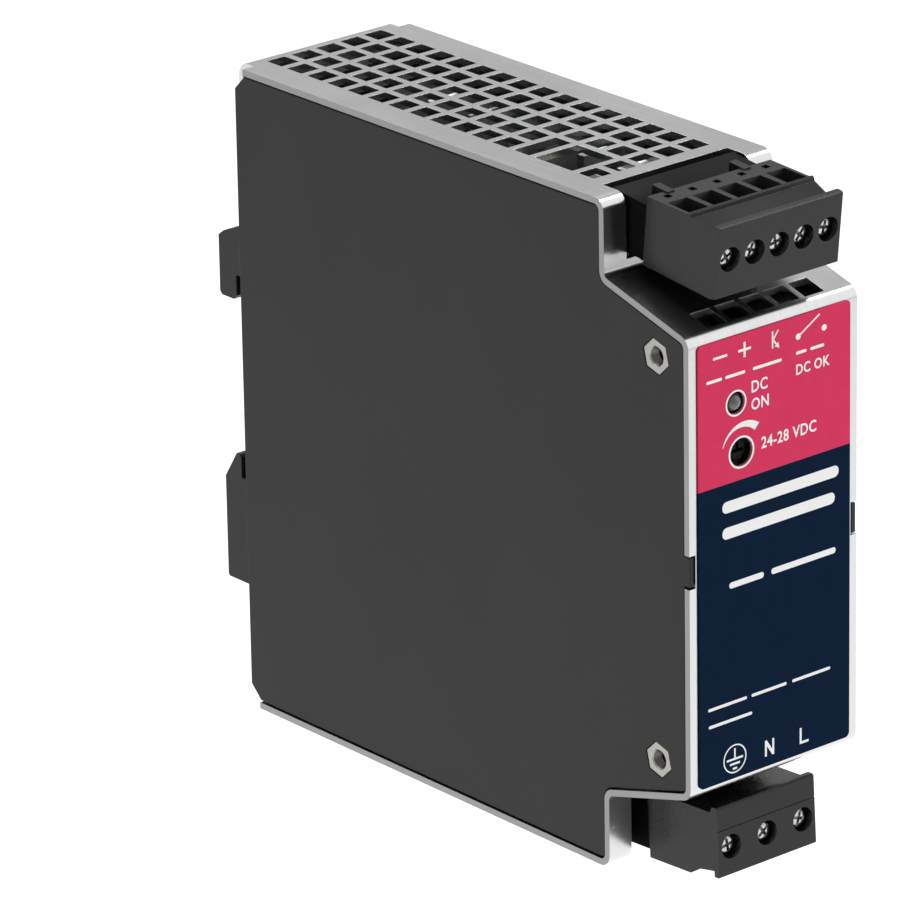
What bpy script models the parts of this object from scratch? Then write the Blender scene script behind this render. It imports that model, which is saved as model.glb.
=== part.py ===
"""DIN rail power supply: folded metal chassis, plastic sides, two pull-off terminal plugs.

Frame: origin on the face that rests on the rail, centred across the width and on the rail.
X runs across the width, -Y is the front of the unit, +Z is up. All lengths are metres.
"""
import math

import bmesh
import bpy
from mathutils import Matrix, Vector

MM = 0.001
GAP = 0.3 * MM

# Chassis: one folded sheet, open at both sides.
WIDTH = 35.2 * MM
HEIGHT = 111.8 * MM
FRONT_Y = -113.0 * MM
STEP_Y = -93.8 * MM
REAR_Y = -2.2 * MM
STEP_Z = 43.4 * MM
NOSE_Z = 38.0 * MM
SHEET = 1.1 * MM
BEND_RADIUS = 1.65 * MM
FLANGE_LENGTH = 9.0 * MM
FLANGE_HALF = 15.3 * MM
REBATE_Y = -6.0 * MM
FLANGE_SCREW_Z = 50.0 * MM

# Ventilation grid in the top and bottom.
HOLE = 3.75 * MM
HOLE_PITCH = 5.08 * MM
HOLE_ROWS = 16
HOLE_COLUMNS = 5
FIRST_ROW_Y = -83.5 * MM
VENT_Y = -109.3 * MM
VENT = 4.0 * MM

# Openings for the terminal plugs.
NOTCH_HALF = 12.9 * MM
NOTCH_REAR_Y = -88.4 * MM
NOTCH_Z = 45.2 * MM
SLIT_HALF = 10.0 * MM
SLIT_Z = 44.2 * MM

# Side panels.
PANEL_FACE_X = 17.4 * MM
PANEL = 1.8 * MM
PANEL_REAR_Y = -3.6 * MM
RIM_DEPTH = 3.0 * MM
RIM = 1.2 * MM
TAB_HALF_Z = 2.75 * MM
TAB_X = 16.3 * MM
BOLT_Y = -105.4 * MM
BOLT_Z = 33.5 * MM
BOSS_RADIUS = 3.6 * MM
BOLT_RADIUS = 1.05 * MM
NUT_FLATS = 5.0 * MM

# Front.
LABEL_HALF_X = 15.9 * MM
LABEL_HALF_Z = 36.7 * MM
LABEL = 0.25 * MM
LED_X = -8.1 * MM
LED_Z = 25.7 * MM
LED_RADIUS = 1.5 * MM
TRIM_X = -7.0 * MM
TRIM_Z = 17.4 * MM
TRIM_HOLE_RADIUS = 2.3 * MM
TRIM_ROTOR_RADIUS = 1.7 * MM

# Rail clip for a 35 mm rail.
CLIP_HALF = 14.0 * MM

# Terminals.
SCREW_RADIUS = 1.65 * MM
SCREW_BORE = 2.0 * MM
CAGE_LOW_U = 5.2 * MM
CAGE_HIGH_U = 11.2 * MM
CAVITY_LOW_U = 3.1 * MM
CAVITY_HIGH_U = 12.4 * MM
CAGE_HALF_X = 1.75 * MM
CAGE_HALF_V = 2.2 * MM
SCREW_FACE_U = 15.2 * MM
NOSE_LOW_U = -6.8 * MM
PIN_HALF = 0.5 * MM

# Boards.
BOARD_X = -13.3 * MM
BOARD = 1.6 * MM


class Plug:
    """Layout of one pull-off terminal block, tilted about the X axis.

    Local coordinates: x across, u forwards along the pull direction, v away from mid height.
    """

    def __init__(self, name, centre_x, origin, tilt, side, poles, pitch, half_width):
        self.name = name
        self.centre_x = centre_x
        self.origin = origin
        self.tilt = math.radians(tilt)
        self.side = side
        self.poles = poles
        self.pitch = pitch
        self.half_width = half_width
        self.profile = []
        self.header_v = (0.0, 0.0)
        self.screw_v = 0.0
        self.lock_x = ()

    def pole_x(self):
        first = -0.5 * (self.poles - 1) * self.pitch
        return [first + index * self.pitch for index in range(self.poles)]

    def matrix(self):
        c = math.cos(self.tilt)
        s = math.sin(self.tilt)
        columns = (
            Vector((1.0, 0.0, 0.0)),
            Vector((0.0, -c, -s * self.side)),
            Vector((0.0, -s, c * self.side)),
        )
        rotation = Matrix(columns).transposed().to_4x4()
        return Matrix.Translation((self.centre_x, self.origin[0], self.origin[1])) @ rotation

    def world(self, x, u, v):
        return self.matrix() @ Vector((x, u, v))


TOP_PLUG = Plug("output", 0.0, (-98.1 * MM, 50.0 * MM), 6.0, 1, 5, 5.08 * MM, 12.75 * MM)
TOP_PLUG.profile = [
    (-0.3, -4.9), (14.9, -4.9), (16.2, -4.6), (16.2, 7.0), (15.9, 7.2), (14.9, 7.2), (14.9, 5.6),
    (13.2, 5.4), (9.8, 6.6), (9.6, 7.2), (9.1, 7.3), (8.9, 7.0), (-0.3, 6.5),
]
TOP_PLUG.header_v = (-4.4 * MM, 4.9 * MM)
TOP_PLUG.screw_v = 1.5 * MM
TOP_PLUG.lock_x = (-8.7 * MM, 7.2 * MM)

BOTTOM_PLUG = Plug("input", -0.7 * MM, (-96.0 * MM, -49.0 * MM), 3.1, -1, 3, 7.62 * MM, 10.3 * MM)
BOTTOM_PLUG.profile = [
    (-0.3, -5.4), (14.4, -5.4), (14.9, -6.4), (15.9, -6.4), (16.2, -6.1), (16.2, -2.6), (16.05, -2.5),
    (16.2, -2.4), (16.2, 5.2), (15.9, 5.4), (14.9, 5.4), (14.9, 4.4), (11.5, 4.9), (9.3, 6.2),
    (-0.3, 6.2),
]
BOTTOM_PLUG.header_v = (-3.2 * MM, 4.9 * MM)
BOTTOM_PLUG.screw_v = 0.6 * MM

PLUGS = (TOP_PLUG, BOTTOM_PLUG)


# ---------------------------------------------------------------- basic shapes
def clear_scene():
    for obj in list(bpy.data.objects):
        bpy.data.objects.remove(obj, do_unlink=True)


def material(name, colour, metallic=0.0, roughness=0.5):
    mat = bpy.data.materials.new(name)
    mat.use_nodes = True
    shader = mat.node_tree.nodes["Principled BSDF"]
    shader.inputs["Base Color"].default_value = (*colour, 1.0)
    shader.inputs["Metallic"].default_value = metallic
    shader.inputs["Roughness"].default_value = roughness
    mat.diffuse_color = (*colour, 1.0)
    return mat


def mesh_object(name, bm):
    bmesh.ops.recalc_face_normals(bm, faces=bm.faces)
    mesh = bpy.data.meshes.new(name)
    bm.to_mesh(mesh)
    bm.free()
    obj = bpy.data.objects.new(name, mesh)
    bpy.context.scene.collection.objects.link(obj)
    return obj


def add_box(bm, low, high):
    corners = [
        (x, y, z)
        for x in (low[0], high[0])
        for y in (low[1], high[1])
        for z in (low[2], high[2])
    ]
    verts = [bm.verts.new(corner) for corner in corners]
    for face in ((0, 1, 3, 2), (4, 6, 7, 5), (0, 4, 5, 1), (2, 3, 7, 6), (0, 2, 6, 4), (1, 5, 7, 3)):
        bm.faces.new([verts[index] for index in face])


def add_frustum(bm, centre, half_a, half_b, axis, start, end):
    """Rectangular frustum along an axis; half sizes at its start and its end."""
    others = [index for index in range(3) if index != axis]
    rings = []
    for half, level in ((half_a, start), (half_b, end)):
        ring = []
        for sign_a, sign_b in ((-1, -1), (1, -1), (1, 1), (-1, 1)):
            point = [0.0, 0.0, 0.0]
            point[axis] = level
            point[others[0]] = centre[0] + sign_a * half[0]
            point[others[1]] = centre[1] + sign_b * half[1]
            ring.append(bm.verts.new(point))
        rings.append(ring)
    bm.faces.new(rings[0])
    bm.faces.new(rings[1])
    for index in range(4):
        after = (index + 1) % 4
        bm.faces.new((rings[0][index], rings[0][after], rings[1][after], rings[1][index]))


def add_prism(bm, outline, axis, start, end):
    """Closed outline of pairs, extruded along an axis."""
    others = [index for index in range(3) if index != axis]
    rings = []
    for level in (start, end):
        ring = []
        for first, second in outline:
            point = [0.0, 0.0, 0.0]
            point[axis] = level
            point[others[0]] = first
            point[others[1]] = second
            ring.append(bm.verts.new(point))
        rings.append(ring)
    bm.faces.new(rings[0])
    bm.faces.new(rings[1])
    count = len(outline)
    for index in range(count):
        after = (index + 1) % count
        bm.faces.new((rings[0][index], rings[0][after], rings[1][after], rings[1][index]))


def add_lathe(bm, centre, axis, stations, segments):
    """Solid of revolution; stations are (position, radius), radius 0 closes to a point."""
    others = [index for index in range(3) if index != axis]
    rings = []
    for level, radius in stations:
        ring = []
        steps = segments if radius > 0.0 else 1
        for index in range(steps):
            angle = 2.0 * math.pi * index / segments
            point = [0.0, 0.0, 0.0]
            point[axis] = level
            point[others[0]] = centre[0] + radius * math.cos(angle)
            point[others[1]] = centre[1] + radius * math.sin(angle)
            ring.append(bm.verts.new(point))
        rings.append(ring)
    for first, second in zip(rings, rings[1:]):
        for index in range(segments):
            after = (index + 1) % segments
            corners = [
                first[index % len(first)], first[after % len(first)],
                second[after % len(second)], second[index % len(second)],
            ]
            unique = list(dict.fromkeys(corners))
            bm.faces.new(unique)
    for ring in (rings[0], rings[-1]):
        if len(ring) > 1:
            bm.faces.new(ring)


def box_object(name, low, high):
    bm = bmesh.new()
    add_box(bm, low, high)
    return mesh_object(name, bm)


def boxes_object(name, pairs):
    bm = bmesh.new()
    for low, high in pairs:
        add_box(bm, low, high)
    return mesh_object(name, bm)


def prism_object(name, outline, axis, start, end):
    bm = bmesh.new()
    add_prism(bm, outline, axis, start, end)
    return mesh_object(name, bm)


def lathe_object(name, centre, axis, stations, segments=24):
    bm = bmesh.new()
    add_lathe(bm, centre, axis, stations, segments)
    return mesh_object(name, bm)


def lathes_object(name, centres, axis, stations, segments=24):
    bm = bmesh.new()
    for centre in centres:
        add_lathe(bm, centre, axis, stations, segments)
    return mesh_object(name, bm)


def combine(target, tool, operation):
    """Apply an exact boolean and remove the tool."""
    modifier = target.modifiers.new(operation.lower(), "BOOLEAN")
    modifier.object = tool
    modifier.operation = operation
    modifier.solver = "EXACT"
    bpy.context.view_layer.update()
    graph = bpy.context.evaluated_depsgraph_get()
    mesh = bpy.data.meshes.new_from_object(target.evaluated_get(graph))
    target.modifiers.clear()
    previous = target.data
    target.data = mesh
    bpy.data.meshes.remove(previous)
    bpy.data.objects.remove(tool, do_unlink=True)


def cut(target, tool):
    combine(target, tool, "DIFFERENCE")


def join(target, tool):
    combine(target, tool, "UNION")


def finish(obj, mat, origin=None, smooth_degrees=None):
    """Set the material, put the origin on the joint axis and shade."""
    mesh = obj.data
    bm = bmesh.new()
    bm.from_mesh(mesh)
    bmesh.ops.remove_doubles(bm, verts=bm.verts, dist=0.002 * MM)
    bmesh.ops.dissolve_degenerate(bm, edges=bm.edges, dist=0.002 * MM)
    if origin is not None:
        bmesh.ops.translate(bm, verts=bm.verts, vec=-Vector(origin))
    bmesh.ops.recalc_face_normals(bm, faces=bm.faces)
    for face in bm.faces:
        face.smooth = smooth_degrees is not None
        face.material_index = 0
    if smooth_degrees is not None:
        limit = math.radians(smooth_degrees)
        for edge in bm.edges:
            edge.smooth = len(edge.link_faces) == 2 and edge.calc_face_angle(0.0) < limit
    bm.to_mesh(mesh)
    bm.free()
    mesh.name = obj.name
    mesh.materials.clear()
    mesh.materials.append(mat)
    if origin is not None:
        obj.location = origin


def apply_matrix(obj, matrix):
    obj.data.transform(matrix)
    bm = bmesh.new()
    bm.from_mesh(obj.data)
    bmesh.ops.recalc_face_normals(bm, faces=bm.faces)
    bm.to_mesh(obj.data)
    bm.free()


# ---------------------------------------------------------------- folded profile
def filleted(points, radius, steps=5):
    """Round the inner corners of an open path; returns points with their normals."""
    path = []
    count = len(points)
    for index, point in enumerate(points):
        here = Vector(point)
        if index in (0, count - 1):
            other = Vector(points[1] if index == 0 else points[-2])
            along = (other - here).normalized() * (1 if index == 0 else -1)
            path.append((here, Vector((-along.y, along.x))))
            continue
        before = (here - Vector(points[index - 1])).normalized()
        after = (Vector(points[index + 1]) - here).normalized()
        turn = before.x * after.y - before.y * after.x
        angle = before.angle(after)
        sign = 1.0 if turn > 0.0 else -1.0
        reach = radius * math.tan(angle / 2.0)
        start = here - before * reach
        centre = start + Vector((-before.y, before.x)) * radius * sign
        for step in range(steps + 1):
            rotated = Vector((before.x, before.y))
            swing = sign * angle * step / steps
            c = math.cos(swing)
            s = math.sin(swing)
            along = Vector((rotated.x * c - rotated.y * s, rotated.x * s + rotated.y * c))
            normal = Vector((-along.y, along.x))
            path.append((centre - normal * radius * sign, normal))
    return path


def sheet_path(with_flanges):
    """Middle line of the folded sheet in Y and Z, from the lower rear round to the upper rear."""
    half = 0.5 * SHEET
    slope = math.atan2(STEP_Z - NOSE_Z, STEP_Y - FRONT_Y)
    lean = half / math.cos(slope)
    front = FRONT_Y + half
    step = STEP_Y + half
    top = 0.5 * HEIGHT - half
    nose = NOSE_Z + half * math.tan(slope) - lean
    knee = STEP_Z + half * math.tan(slope) - lean
    rear = REAR_Y - half
    upper = [(front, nose), (step, knee), (step, top)]
    if with_flanges:
        upper += [(rear, top), (rear, top - FLANGE_LENGTH)]
    else:
        upper += [(REBATE_Y, top)]
    lower = [(y, -z) for y, z in reversed(upper)]
    return filleted(lower + upper, BEND_RADIUS)


def offset_line(path, distance):
    return [(point + normal * distance).to_tuple() for point, normal in path]


# ---------------------------------------------------------------- chassis
def grid_boxes(side, merged):
    """Hole cutters for one face; the top merges some holes into larger openings."""
    low_z = 0.5 * HEIGHT - 2.5 * MM
    high_z = 0.5 * HEIGHT + 1.0 * MM
    if side < 0:
        low_z, high_z = -high_z, -low_z
    half = 0.5 * HOLE
    pairs = []
    for row in range(HOLE_ROWS):
        y = FIRST_ROW_Y + row * HOLE_PITCH
        for column in range(HOLE_COLUMNS):
            x = (column - 2) * HOLE_PITCH
            if merged and row in (1, 2, 3) and column in (0, 1):
                continue
            pairs.append(((x - half, y - half, low_z), (x + half, y + half, high_z)))
    if merged:
        left = -2 * HOLE_PITCH - half
        right = -HOLE_PITCH + half
        for first, last in ((1, 2), (3, 3)):
            near = FIRST_ROW_Y + first * HOLE_PITCH - half
            far = FIRST_ROW_Y + last * HOLE_PITCH + half
            pairs.append(((left, near, low_z), (right, far, high_z)))
    return pairs


def build_chassis(mat):
    path = sheet_path(with_flanges=True)
    outline = offset_line(path, -0.5 * SHEET) + offset_line(path, 0.5 * SHEET)[::-1]
    chassis = prism_object("chassis_band", outline, 0, -0.5 * WIDTH, 0.5 * WIDTH)
    cut(chassis, boxes_object("grid_top", grid_boxes(1, True)))
    cut(chassis, boxes_object("grid_bottom", grid_boxes(-1, False)))
    half = 0.5 * VENT
    vents = []
    for column in range(HOLE_COLUMNS):
        x = (column - 2) * HOLE_PITCH
        for low, high in ((35.0 * MM, 43.0 * MM), (-43.0 * MM, -35.0 * MM)):
            vents.append(((x - half, VENT_Y - half, low), (x + half, VENT_Y + half, high)))
    cut(chassis, boxes_object("vents", vents))
    tall = 0.5 * HEIGHT + 2.0 * MM
    front = STEP_Y - 2.0 * MM
    notches = [
        ((-NOTCH_HALF, front, NOTCH_Z), (NOTCH_HALF, NOTCH_REAR_Y, tall)),
        ((-NOTCH_HALF, front, -tall), (NOTCH_HALF, NOTCH_REAR_Y, -NOTCH_Z)),
    ]
    cut(chassis, boxes_object("plug_notches", notches))
    slit_rear = STEP_Y + 1.6 * MM
    slits = [
        ((-SLIT_HALF, STEP_Y - 0.4 * MM, SLIT_Z), (SLIT_HALF, slit_rear, NOTCH_Z + 1.0 * MM)),
        ((-SLIT_HALF, STEP_Y - 0.4 * MM, -NOTCH_Z - 1.0 * MM), (SLIT_HALF, slit_rear, -SLIT_Z)),
    ]
    cut(chassis, boxes_object("plug_slits", slits))
    edge = 0.5 * WIDTH + 1.0 * MM
    behind = REAR_Y + 2.0 * MM
    rebates = [
        ((FLANGE_HALF, REBATE_Y, -tall), (edge, behind, tall)),
        ((-edge, REBATE_Y, -tall), (-FLANGE_HALF, behind, tall)),
    ]
    cut(chassis, boxes_object("rear_rebates", rebates))
    tabs = [
        ((TAB_X, FRONT_Y - MM, -TAB_HALF_Z), (edge, FRONT_Y + 2.0 * MM, TAB_HALF_Z)),
        ((-edge, FRONT_Y - MM, -TAB_HALF_Z), (-TAB_X, FRONT_Y + 2.0 * MM, TAB_HALF_Z)),
    ]
    cut(chassis, boxes_object("tab_notches", tabs))
    through = [(FRONT_Y - MM, LED_RADIUS + GAP), (FRONT_Y + 2.0 * MM, LED_RADIUS + GAP)]
    cut(chassis, lathe_object("led_hole", (LED_X, LED_Z), 1, through))
    through = [(FRONT_Y - MM, TRIM_HOLE_RADIUS), (FRONT_Y + 2.0 * MM, TRIM_HOLE_RADIUS)]
    cut(chassis, lathe_object("trimmer_hole", (TRIM_X, TRIM_Z), 1, through))
    through = [(REAR_Y - 2.0 * MM, 1.8 * MM), (REAR_Y + MM, 1.8 * MM)]
    centres = [(0.0, FLANGE_SCREW_Z), (0.0, -FLANGE_SCREW_Z)]
    cut(chassis, lathes_object("flange_holes", centres, 1, through, 20))
    finish(chassis, mat, smooth_degrees=30)


def panel_outline():
    """Inner edge of the sheet less a gap, closed at the rear with chamfered corners."""
    line = offset_line(sheet_path(with_flanges=False), -0.5 * SHEET - GAP)
    top = line[-1][1]
    drop = 2.4 * MM
    return line + [(PANEL_REAR_Y, top - drop), (PANEL_REAR_Y, -top + drop)]


def build_side_panel(name, side, mat):
    face = PANEL_FACE_X
    inner = face - PANEL
    panel = prism_object(name, panel_outline(), 0, inner, face)
    path = sheet_path(with_flanges=False)
    near = offset_line(path, -0.5 * SHEET - GAP)
    far = offset_line(path, -0.5 * SHEET - GAP - RIM)
    rim = prism_object("rim", near + far[::-1], 0, inner - RIM_DEPTH, inner + 0.5 * MM)
    clear = 2.0 * MM
    openings = [
        ((0.0, STEP_Y - clear, low), (inner - 0.2 * MM, NOTCH_REAR_Y + clear, high))
        for low, high in ((NOTCH_Z - clear, HEIGHT), (-HEIGHT, -NOTCH_Z + clear))
    ]
    cut(rim, boxes_object("rim_openings", openings))
    join(panel, rim)
    tab_low = (inner + 0.4 * MM, FRONT_Y + 0.1 * MM, -TAB_HALF_Z + GAP)
    tab_high = (face, FRONT_Y + SHEET + 2.0 * MM, TAB_HALF_Z - GAP)
    tab = box_object("tab", (TAB_X + GAP, tab_low[1], tab_low[2]), tab_high)
    join(panel, tab)
    depth = 14.0 * MM if side > 0 else 8.0 * MM
    for z in (BOLT_Z, -BOLT_Z):
        stations = [(inner - depth, BOSS_RADIUS), (inner + 0.5 * MM, BOSS_RADIUS)]
        join(panel, lathe_object("boss", (BOLT_Y, z), 0, stations))
        bore = BOLT_RADIUS + GAP
        stations = [(inner - depth - MM, bore), (face + MM, bore)]
        cut(panel, lathe_object("bore", (BOLT_Y, z), 0, stations))
        if side < 0:
            pocket = nut_outline(NUT_FLATS + 0.3 * MM, BOLT_Y, z)
            cut(panel, prism_object("pocket", pocket, 0, face - 2.2 * MM, face + MM))
        else:
            stations = [(face - 1.9 * MM, 1.4 * MM), (face - 1.6 * MM, 1.4 * MM)]
            stations += [(face - 0.3 * MM, 2.7 * MM), (face + MM, 2.7 * MM)]
            cut(panel, lathe_object("sink", (BOLT_Y, z), 0, stations))
    if side < 0:
        apply_matrix(panel, Matrix.Diagonal((-1.0, 1.0, 1.0, 1.0)))
    finish(panel, mat, smooth_degrees=30)


def nut_outline(flats, y, z):
    radius = 0.5 * flats / math.cos(math.radians(30.0))
    turn = math.radians(16.0)
    return [
        (y + radius * math.cos(turn + math.radians(60 * k)),
         z + radius * math.sin(turn + math.radians(60 * k)))
        for k in range(6)
    ]


def build_nut(name, z, mat):
    low = -PANEL_FACE_X + 0.1 * MM
    nut = prism_object(name, nut_outline(NUT_FLATS, BOLT_Y, z), 0, low, low + 1.8 * MM)
    bore = BOLT_RADIUS + GAP
    stations = [
        (low - 0.1 * MM, bore + 0.4 * MM), (low + 0.3 * MM, bore), (low + 2.0 * MM, bore),
    ]
    cut(nut, lathe_object("bore", (BOLT_Y, z), 0, stations, 20))
    finish(nut, mat, smooth_degrees=30)


def build_cover_screw(name, z, mat):
    """Countersunk screw that crosses the unit from the right side into the press-in nut."""
    head = PANEL_FACE_X - 0.2 * MM
    stations = [
        (-PANEL_FACE_X + 0.9 * MM, BOLT_RADIUS), (head - 1.5 * MM, BOLT_RADIUS),
        (head - 0.3 * MM, 2.3 * MM), (head, 2.3 * MM),
    ]
    screw = lathe_object(name, (BOLT_Y, z), 0, stations, 20)
    arm = 1.3 * MM
    width = 0.3 * MM
    low = head - 0.8 * MM
    cross = box_object("cross", (low, BOLT_Y - arm, z - width), (head + MM, BOLT_Y + arm, z + width))
    cut(screw, cross)
    cross = box_object("cross", (low, BOLT_Y - width, z - arm), (head + MM, BOLT_Y + width, z + arm))
    cut(screw, cross)
    finish(screw, mat, smooth_degrees=30)


# ---------------------------------------------------------------- rear and rail clip
def build_rear_plate(mat):
    plate = box_object("rear_plate", (-15.2 * MM, -7.0 * MM, -53.0 * MM), (15.2 * MM, -5.5 * MM, 53.0 * MM))
    for side in (1, -1):
        low, high = sorted((side * 46.6 * MM, side * 52.6 * MM))
        join(plate, box_object("pad", (-12.0 * MM, -6.0 * MM, low), (12.0 * MM, -3.6 * MM, high)))
    stations = [(-8.0 * MM, 1.3 * MM), (-3.0 * MM, 1.3 * MM)]
    centres = [(0.0, FLANGE_SCREW_Z), (0.0, -FLANGE_SCREW_Z)]
    centres += [(9.0 * MM, 0.0), (-9.0 * MM, 0.0)]
    cut(plate, lathes_object("threads", centres, 1, stations, 16))
    finish(plate, mat, smooth_degrees=30)


def build_adapter(mat):
    """Fixed half of the rail clip: seat plate, upper hook and latch guide."""
    outline = [
        (-5.2, -42.0), (0.0, -42.0), (0.0, 17.8), (1.7, 17.8), (1.7, 14.2), (2.5, 13.4), (5.6, 13.4),
        (6.1, 14.0), (6.1, 23.8), (4.8, 24.8), (1.0, 26.4), (-0.6, 27.0), (-5.2, 27.0),
    ]
    outline = [(y * MM, z * MM) for y, z in outline]
    adapter = prism_object("rail_adapter", outline, 0, -CLIP_HALF, CLIP_HALF)
    top = -17.9 * MM
    bottom = -36.0 * MM
    wide = box_object("wide", (-5.1 * MM, -6.0 * MM, bottom), (5.1 * MM, -2.2 * MM, top))
    cut(adapter, wide)
    narrow = box_object("narrow", (-3.2 * MM, -3.0 * MM, bottom), (3.2 * MM, 1.0 * MM, top))
    cut(adapter, narrow)
    stations = [(-6.0 * MM, 1.6 * MM), (1.0 * MM, 1.6 * MM)]
    centres = [(9.0 * MM, 0.0), (-9.0 * MM, 0.0)]
    cut(adapter, lathes_object("holes", centres, 1, stations, 20))
    stations = [(-2.4 * MM, 2.9 * MM), (1.0 * MM, 2.9 * MM)]
    cut(adapter, lathes_object("sinks", centres, 1, stations, 20))
    finish(adapter, mat, smooth_degrees=30)


def build_latch(mat):
    """Sprung lower half of the rail clip; it slides down to let the rail go."""
    outline = [
        (0.3, -36.6), (5.7, -36.6), (6.1, -36.2), (6.1, -18.6), (3.0, -13.8), (2.2, -13.8), (1.7, -14.3),
        (1.7, -17.9), (0.3, -17.9),
    ]
    outline = [(y * MM, z * MM) for y, z in outline]
    latch = prism_object("rail_latch", outline, 0, -CLIP_HALF, CLIP_HALF)
    neck = box_object("neck", (-2.9 * MM, -3.0 * MM, -22.0 * MM), (2.9 * MM, 0.8 * MM, -18.2 * MM))
    join(latch, neck)
    head = box_object("head", (-4.8 * MM, -4.9 * MM, -22.0 * MM), (4.8 * MM, -2.5 * MM, -18.2 * MM))
    join(latch, head)
    slot = box_object("slot", (-3.0 * MM, 2.4 * MM, -38.0 * MM), (3.0 * MM, 3.8 * MM, -32.6 * MM))
    cut(latch, slot)
    finish(latch, mat, origin=(0.0, 3.0 * MM, -27.0 * MM), smooth_degrees=20)


def build_spring(mat):
    """Compression spring between the guide's floor and the latch's head."""
    turns = 7.0
    coil = 0.95 * MM
    wire = 0.25 * MM
    bottom = -35.7 * MM + wire
    top = -22.3 * MM - wire
    steps = 84
    sides = 6
    centre_y = -3.75 * MM
    bm = bmesh.new()
    rings = []
    for step in range(steps + 1):
        part = step / steps
        angle = 2.0 * math.pi * turns * part
        ease = min(1.0, max(0.0, (part - 0.06) / 0.88))
        rise = bottom + (top - bottom) * (0.03 * part + 0.97 * ease)
        outward = Vector((math.cos(angle), math.sin(angle), 0.0))
        ring = []
        for side in range(sides):
            swing = 2.0 * math.pi * side / sides
            point = Vector((0.0, centre_y, rise)) + outward * (coil + wire * math.cos(swing))
            point.z += wire * math.sin(swing)
            ring.append(bm.verts.new(point))
        rings.append(ring)
    for first, second in zip(rings, rings[1:]):
        for side in range(sides):
            after = (side + 1) % sides
            bm.faces.new((first[side], first[after], second[after], second[side]))
    bm.faces.new(rings[0])
    bm.faces.new(rings[-1])
    spring = mesh_object("latch_spring", bm)
    finish(spring, mat, origin=(0.0, centre_y, -36.0 * MM), smooth_degrees=70)


def build_pan_screw(name, x, z, head_y, length, mat, radius=1.0 * MM, head=2.4 * MM):
    """Small cross-head screw driven from the rear."""
    stations = [
        (head_y - length, radius), (head_y - 1.2 * MM, radius), (head_y - 1.2 * MM, head),
        (head_y - 0.3 * MM, head), (head_y, head - 0.5 * MM),
    ]
    screw = lathe_object(name, (x, z), 1, stations, 20)
    arm = 1.2 * MM
    width = 0.25 * MM
    low = head_y - 0.7 * MM
    cut(screw, box_object("cross", (x - arm, low, z - width), (x + arm, head_y + MM, z + width)))
    cut(screw, box_object("cross", (x - width, low, z - arm), (x + width, head_y + MM, z + arm)))
    finish(screw, mat, smooth_degrees=30)


# ---------------------------------------------------------------- front
def build_label(mat):
    corner = 1.5 * MM
    steps = 5
    outline = []
    for sign_x, sign_z, start in ((1, 1, 0), (-1, 1, 90), (-1, -1, 180), (1, -1, 270)):
        for step in range(steps + 1):
            angle = math.radians(start + 90.0 * step / steps)
            outline.append((
                sign_x * (LABEL_HALF_X - corner) + corner * math.cos(angle),
                sign_z * (LABEL_HALF_Z - corner) + corner * math.sin(angle),
            ))
    back = FRONT_Y - 0.05 * MM
    label = prism_object("front_label", outline, 1, back - LABEL, back)
    through = [(FRONT_Y - MM, LED_RADIUS + GAP), (FRONT_Y + MM, LED_RADIUS + GAP)]
    cut(label, lathe_object("led_hole", (LED_X, LED_Z), 1, through))
    through = [(FRONT_Y - MM, TRIM_HOLE_RADIUS), (FRONT_Y + MM, TRIM_HOLE_RADIUS)]
    cut(label, lathe_object("trimmer_hole", (TRIM_X, TRIM_Z), 1, through))
    finish(label, mat, smooth_degrees=30)


def build_led(mat):
    tip = FRONT_Y - 0.7 * MM
    stations = [(tip, 0.0)]
    for degrees in (20, 40, 60, 80):
        angle = math.radians(degrees)
        stations.append((tip + LED_RADIUS * (1.0 - math.cos(angle)), LED_RADIUS * math.sin(angle)))
    stations += [(FRONT_Y + 3.4 * MM, LED_RADIUS), (FRONT_Y + 3.4 * MM, 1.9 * MM)]
    stations += [(FRONT_Y + 4.4 * MM, 1.9 * MM)]
    led = lathe_object("status_lamp", (LED_X, LED_Z), 1, stations, 20)
    finish(led, mat, smooth_degrees=40)


def build_trimmer(mat_body, mat_rotor):
    front = FRONT_Y + SHEET + GAP
    low = (TRIM_X - 3.7 * MM, front, TRIM_Z - 3.6 * MM)
    high = (TRIM_X + 3.7 * MM, front + 6.0 * MM, TRIM_Z + 3.6 * MM)
    body = box_object("trimmer_body", low, high)
    bore = TRIM_ROTOR_RADIUS + GAP
    stations = [(front - MM, bore), (front + 4.0 * MM, bore)]
    cut(body, lathe_object("bore", (TRIM_X, TRIM_Z), 1, stations))
    finish(body, mat_body, smooth_degrees=30)
    face = FRONT_Y + 0.7 * MM
    stations = [
        (face, TRIM_ROTOR_RADIUS - 0.2 * MM), (face + 0.2 * MM, TRIM_ROTOR_RADIUS),
        (front + 3.7 * MM, TRIM_ROTOR_RADIUS),
    ]
    rotor = lathe_object("trimmer_rotor", (TRIM_X, TRIM_Z), 1, stations)
    arm = 1.25 * MM
    width = 0.3 * MM
    low = (TRIM_X - arm, face - MM, TRIM_Z - width)
    cut(rotor, box_object("slot", low, (TRIM_X + arm, face + 0.9 * MM, TRIM_Z + width)))
    low = (TRIM_X - width, face - MM, TRIM_Z - width + 0.1 * MM)
    cut(rotor, box_object("mark", low, (TRIM_X + width, face + 0.9 * MM, TRIM_Z + arm)))
    finish(rotor, mat_rotor, origin=(TRIM_X, face, TRIM_Z), smooth_degrees=30)


# ---------------------------------------------------------------- terminal blocks


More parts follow.
